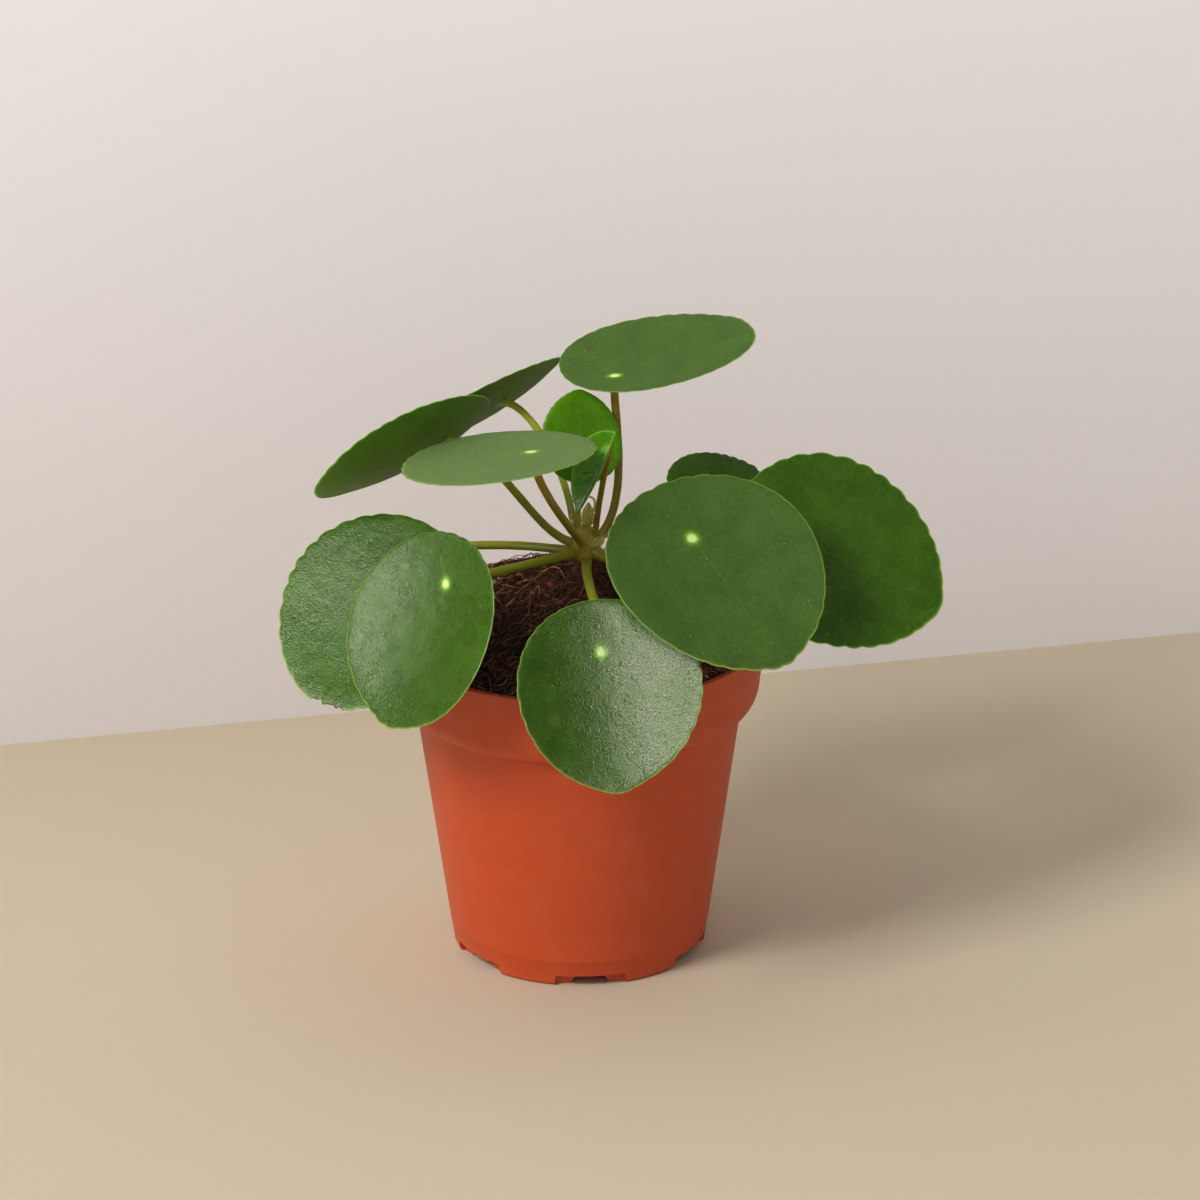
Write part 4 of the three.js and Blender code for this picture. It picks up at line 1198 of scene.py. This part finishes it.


# %% [markdown]
# The blade's skin is covered by a wax that the plant itself lays down. It is glossy, but the skin
# under it is wrinkled like fine leather, so a white board shows on it as a broad grey-green sheen
# that breaks up into grains, with small dark dimples. On the flat leaves on top the wax is chalky
# and dull, and their pale grey-green is partly chalk and partly painted sheen, the reflection of the
# pale backdrop. Away from the sheen the green is deep and clean. Light also goes into the
# blade and comes out greener, so part of it is scattered under the skin.
#
# The finish is put together from what the eye meets: cloudy greens, chalk and painted sheen, faint
# veins, tiny pale specks, small blemishes and spots of painted shade, the underside, the star, and a
# light rim where the blade is thin.

# %% Blemishes of single leaves
# Leaf, how far across and ahead of the spot, how wide, all in millimetres, and what it is.
BLEMISHES = [
    ("front", 5.1, -7.4, 1.1, "dimple_shade"), ("front", 0.4, -3.0, 0.5, "cork"),
    ("front", -15.1, 1.5, 1.0, "dimple_shade"), ("front", -17.0, 10.2, 1.2, "dimple_shade"),
    ("front", -13.1, 9.6, 0.9, "dimple_shade"), ("front", -17.6, 16.1, 1.0, "dimple_shade"),
    ("front", -11.7, 15.9, 1.4, "pale"), ("front", -2.9, 17.1, 0.8, "dimple_shade"),
    ("front", -24.9, 8.5, 0.9, "dimple_shade"), ("front", -3.3, 29.1, 1.1, "dimple_shade"),
    ("front", 16.3, 17.0, 3.4, "yellowed"),
    ("front", -12.9, 33.4, 0.8, "cork"), ("near_left", 5.8, 1.8, 1.1, "dimple_shade"),
    ("near_left", 3.6, -6.8, 0.8, "dimple_shade"), ("near_left", -0.2, -5.7, 0.7, "dimple_shade"),
    ("near_left", -3.4, -0.6, 1.1, "dimple_shade"), ("near_left", 8.7, -1.7, 0.8, "dimple_shade"),
    ("near_left", 23.0, 27.6, 0.9, "cork"), ("near_left", 0.0, 42.3, 0.9, "cork"),
]
# The darkest kind of spot is painted shade, in small dimples of the skin where the sheen breaks.
BLEMISH_TINTS = {"dimple_shade": ("#1B330C", 0.75), "cork": ("#8C6B35", 0.9), "pale": ("#7C9058", 0.5),
                 "yellowed": ("#6F861C", 0.45)}
LEAF_APART = 20.0  # the patterns of one leaf lie this far from the next leaf's, in pattern space


def blemish_coats(add, bent, mottle):
    """One ragged spot of tint for each blemish."""
    coats = []
    for leaf, across, ahead, wide, kind in BLEMISHES:
        tint, cover = BLEMISH_TINTS[kind]
        middle = (across, ahead, LEAF_APART * list(LEAVES).index(leaf))
        off = add("VectorMath", {0: bent, 1: middle}, operation="DISTANCE")
        ragged = add("Math", {0: mottle, 1: 1.2 * wide, 2: off}, operation="MULTIPLY_ADD")
        share = add("MapRange", {0: ragged, 1: 1.35 * wide, 2: 0.8 * wide, 4: cover})
        coats.append((share, tint))
    return coats


print("blemishes:", len(BLEMISHES))

# %% [markdown]
# Nothing on a wrinkled skin is quite straight. A slow noise first bends the map of the blade by
# up to half a millimetre, and veins and blemishes are drawn on the bent map. The main veins
# spread from the spot like spokes: the angle round the spot is folded back and forth every 18
# degrees, which leaves how far the nearest vein is, with one vein in every 36 degrees. They fade
# towards the edge, and only the one to the tip is clear to see.

# %% Faint veins
def bent_map(add, on_blade):
    wobble = add("TexNoise", {"Vector": on_blade, "Scale": 0.12, "Detail": 2.0})
    shift = add("VectorMath", {0: wobble.outputs["Color"], 1: (0.5, 0.5, 0.5)},
                operation="SUBTRACT")
    return add("VectorMath", {0: shift, 1: (1.6, 1.6, 0.0), 2: on_blade}, operation="MULTIPLY_ADD")


def faint_veins(add, bent, edge):
    """How much each place belongs to a vein, and how far it lies from the spot."""
    flat = add("VectorMath", {0: bent, 1: (1.0, 1.0, 0.0)}, operation="MULTIPLY")
    parts = add("SeparateXYZ", {0: flat})
    turn = add("Math", {0: parts.outputs["X"], 1: parts.outputs["Y"]}, operation="ARCTAN2")
    off_ray = add("Math", {0: turn, 1: math.radians(18)}, operation="PINGPONG")
    reach = add("VectorMath", {0: flat}, operation="LENGTH")
    off_vein = add("Math", {0: off_ray, 1: reach}, operation="MULTIPLY")
    line = add("MapRange", {0: off_vein, 1: 0.5, 2: 0.05}, interpolation_type="SMOOTHSTEP")
    from_tip = add("Math", {0: turn}, operation="ABSOLUTE")
    strength = add("MapRange", {0: from_tip, 1: 0.28, 2: 0.34, 3: 0.2, 4: 0.04})
    fading = add("MapRange", {0: edge, 1: 0.2, 2: 0.85, 3: 1.0, 4: 0.0})
    vein = add("Math", {0: line, 1: strength}, operation="MULTIPLY")
    return add("Math", {0: vein, 1: fading}, operation="MULTIPLY"), reach


# %% [markdown]
# Pale specks lie all over the blade, up to 0.5 mm across and one in every few millimetres. They
# are pores plugged with salts. A Voronoi pattern gives each of its cells a random value, and only
# the cells with a high one get a speck in their middle.

# %% Pale specks
def pale_specks(add, on_blade):
    cells = add("TexVoronoi", {"Vector": on_blade, "Scale": 0.45, "Randomness": 1.0})
    cell_value = add("SeparateColor", {0: cells.outputs["Color"]})
    speck_size = add("MapRange", {0: cell_value, 1: 0.5, 2: 1.0, 4: 0.11})
    inside = add("Math", {0: speck_size, 1: cells}, operation="SUBTRACT")
    return add("MapRange", {0: inside, 1: -0.01, 2: 0.02, 4: 0.85})


# %% [markdown]
# The wax shines on the upper face. The underside and dead tissue are dull, and chalk, a dust of
# tiny crystals, takes the shine off as well. What breaks the sheen up are leathery wrinkles of 0.2
# to 0.8 mm, pushed about by each other, and dimples 1 mm across. Both are half as high below.

# %% Shine and wrinkles of the wax
def wax_roughness(add, cloud, under, chalk_and_sheen, browned):
    dull = add("MapRange", {0: cloud, 1: 0.3, 2: 0.7, 3: 0.23, 4: 0.31})
    duller = add("Math", {0: under, 1: 0.3, 2: dull}, operation="MULTIPLY_ADD")
    dusty = add("MapRange", {0: chalk_and_sheen, 1: 0.0, 2: 0.2, 3: 0.0, 4: 0.3})
    dusted = add("Math", {0: duller, 1: dusty}, operation="ADD")
    return add("Math", {0: browned, 1: 0.6, 2: dusted}, operation="MULTIPLY_ADD")


def leathery_relief(add, on_blade, veins, under):
    wrinkles = add("TexNoise", {"Vector": on_blade, "Scale": 1.7, "Detail": 3.0,
                                "Roughness": 0.55, "Distortion": 0.5})
    dimples = add("TexVoronoi", {"Vector": on_blade, "Scale": 0.36}, feature="F1")
    pit = add("MapRange", {0: dimples, 1: 0.12, 2: 0.28, 3: -0.3, 4: 0.0},
              interpolation_type="SMOOTHSTEP")
    pitted = add("Math", {0: pit, 1: wrinkles}, operation="ADD")
    sunk = add("Math", {0: veins, 1: -0.3, 2: pitted}, operation="MULTIPLY_ADD")
    calm = add("Math", {0: under, 1: -0.5, 2: 1.0}, operation="MULTIPLY_ADD")
    relief = add("Math", {0: sunk, 1: calm}, operation="MULTIPLY")
    return add("Bump", {"Height": relief, "Strength": 1.0, "Distance": 0.14 * MM})


# %% [markdown]
# Now the coats are laid over each other, from the green of the skin outwards. Young leaves are
# thinner, with less wax, so they are brighter, shine less, and have a weaker star and a brown rim.

# %% Waxy leaf skin
def waxy_leaf(name, gloss, deep, fresh, under_deep, under_fresh, rim_tint, vein_tint, star):
    # The wax has an IOR of 1.45 to 1.5, and its sheen is slightly yellow.
    finish, add, shader = new_finish(name, {
        "IOR": 1.5, "Specular IOR Level": gloss, "Specular Tint": (1.0, 1.0, 0.8, 1.0),
        "Subsurface Weight": 0.45, "Subsurface Scale": 1.5 * MM,
        "Subsurface Radius": (0.55, 1.0, 0.1)})
    on_blade = add("Attribute", attribute_name="on_blade").outputs["Vector"]
    edge, under, browned, chalk_and_sheen = [
        add("Attribute", attribute_name=label).outputs["Fac"]
        for label in ("edge", "under", "browned", "chalk_and_sheen")]
    # Clouds of 9 mm, and mottling of 1.5 mm from the cells between the finest veins.
    cloud = add("TexNoise", {"Vector": on_blade, "Scale": 0.11, "Detail": 4.0, "Roughness": 0.55})
    mottle = add("TexNoise", {"Vector": on_blade, "Scale": 0.7, "Detail": 4.0, "Roughness": 0.7})
    both = add("Mix", {0: 0.55, 2: cloud, 3: mottle})
    mixed = add("MapRange", {0: both, 1: 0.34, 2: 0.66})
    lower = lay_tints(add, under_deep, [(mixed, under_fresh)])
    # The pale coat, partly chalk and partly painted sheen, lies unevenly, thicker in the dips of the
    # skin.
    patchy = add("MapRange", {0: mottle, 1: 0.3, 2: 0.7, 3: 0.7, 4: 1.15})
    chalk = add("Math", {0: chalk_and_sheen, 1: patchy}, operation="MULTIPLY")
    bent = bent_map(add, on_blade)
    veins, reach = faint_veins(add, bent, edge)
    # The star: a lime halo 5 mm wide and a nearly white core 2 mm wide, both frayed.
    rays = add("Math", {0: mottle, 1: -1.2, 2: reach}, operation="MULTIPLY_ADD")
    halo = add("MapRange", {0: rays, 1: 2.9, 2: -0.2, 4: star}, interpolation_type="SMOOTHERSTEP")
    core = add("MapRange", {0: rays, 1: 1.25, 2: 0.1, 4: star}, interpolation_type="SMOOTHSTEP")
    # The rim is only a few cells thick, so light gets through its last tenths of a millimetre.
    rim = add("MapRange", {0: edge, 1: 0.985, 2: 0.995, 4: 0.55})
    # The pale grey-green coat #728C50 is partly chalk and partly painted sheen, the reflection of the
    # pale backdrop on the flat leaves on top.
    colour = lay_tints(add, deep, [
        (mixed, fresh), (chalk, "#728C50"), (veins, vein_tint),
        (pale_specks(add, on_blade), "#93A860"), *blemish_coats(add, bent, mottle),
        (under, lower), (halo, "#7CBE22"), (core, "#DFF79C"), (rim, rim_tint),
        (browned, "#2E1A0E")])
    feed(shader, {"Base Color": colour,
                  "Roughness": wax_roughness(add, cloud, under, chalk_and_sheen, browned),
                  "Normal": leathery_relief(add, on_blade, veins, under)})
    return finish


grown_leaf = waxy_leaf("waxy_leaf_skin_grown", 0.55, "#305408", "#476F12", "#436B02", "#588404",
                       "#9CBC4A", "#7E9C50", 1.0)
young_leaf = waxy_leaf("waxy_leaf_skin_young", 0.3, "#4E8A06", "#6AAA0C", "#62941A", "#7AA62E",
                       "#7A5A24", "#9CBE56", 0.25)
print("finishes:", grown_leaf.name, young_leaf.name)

# %% [markdown]
# Both faces of a blade are made from one grid. It is quilted first, then its edge is rolled down,
# and the two faces draw together towards the rim. Then the leaf's own directions carry it to its
# place in the plant. All blades have the same net of faces, so that is made only once.

# %% Points and faces of a blade
QUILT_SIZE = 4.5
QUILT_HIGH = 0.09
ROLLED = 0.25  # how far the edge is rolled down
ROLLED_FROM = 0.86  # the share of the way to the edge where that starts
RIM_THINNER = 0.45  # what a blade loses of its thickness on its way to the rim
THINNER_FROM = 0.6
HALF = len(SHARES) * SPOKES  # points in one face, without the one in the spot


def blade_faces():
    """Both faces, a fan round the spot on each, and the strip that joins them at the rim."""
    skin = ring_faces(len(SHARES), SPOKES, ends=False)
    faces = [tuple(reversed(f)) for f in skin] + [tuple(i + HALF for i in f) for f in skin]
    spot_top, spot_under = 2 * HALF, 2 * HALF + 1
    for i in range(SPOKES):
        j = (i + 1) % SPOKES
        rim, rim_next = HALF - SPOKES + i, HALF - SPOKES + j
        faces += [(spot_top, i, j), (spot_under, HALF + j, HALF + i),
                  (rim, rim + HALF, rim_next + HALF, rim_next)]
    return faces


def blade_points(leaf, number, turn, share):
    """The points in the plant, and the places across and ahead on the blade."""
    x, y, z = blade_place(leaf, turn, share, number + 1.0)
    waves = np.array([quilting(a, b, number, QUILT_SIZE) for a, b in zip(x, y)])
    z = z + QUILT_HIGH * waves * np.clip(share * 3, 0, 1)
    z = z - ROLLED * np.clip((share - ROLLED_FROM) / 0.14, 0, 1) ** 2
    # The blade thins to 0.35 mm at its rim, and the rim is rounded.
    thick = BLADE_THICK - RIM_THINNER * np.clip((share - THINNER_FROM) / 0.4, 0, 1) ** 2
    tuck = np.where(share > 0.99, 0.12, np.where(share > 0.98, 0.05, 0))
    upper = np.stack([x, y, z - tuck], axis=1)
    lower = np.stack([x, y, z - thick + tuck], axis=1)
    local = np.concatenate([upper, lower, [[0, 0, 0], [0, 0, -BLADE_THICK]]])
    return local @ np.stack(leaf_frame(leaf)) + np.array(leaf["spot"]), x, y


# %% [markdown]
# What the finish has to know of each point is noted on the mesh: its place on the blade, how near
# the edge it is, whether it is on the underside, how much chalk and painted sheen lie on it, and how
# browned the skin is there.

# %% Make the blades
CHALK_AND_SHEEN = {"upper_front": 0.8, "top": 0.2, "right": 0.12}  # how much chalk, and painted sheen with it, lies on the wax
turn, share = (grid.ravel() for grid in np.meshgrid(full_turn(SPOKES), SHARES))
net = blade_faces()
for number, (name, leaf) in enumerate(LEAVES.items()):
    points, x, y = blade_points(leaf, number, turn, share)
    skin, slot = (young_leaf, "blade_young") if name in YOUNG else (grown_leaf, "blade")
    blade = make_piece(f"blade_{name}_skin", points, net, skin, [f"blade_{name}"])
    apart = LEAF_APART * number
    own_part = np.stack([x, y, np.full(HALF, apart)], axis=1)
    note_on(blade, "on_blade", [*own_part, *own_part, *[(0, 0, apart)] * 2], "FLOAT_VECTOR")
    note_on(blade, "edge", np.concatenate([share, share, [0, 0]]))
    note_on(blade, "under", np.concatenate([np.zeros(HALF), np.ones(HALF), [0, 1]]))
    note_on(blade, "chalk_and_sheen", np.full(2 * HALF + 2, CHALK_AND_SHEEN.get(name, 0)))
    dead = browned_edge(leaf, turn, share)
    note_on(blade, "browned", np.concatenate([dead, dead, [0, 0]]))
print("blades:", len(LEAVES), "points each:", 2 * HALF + 2)
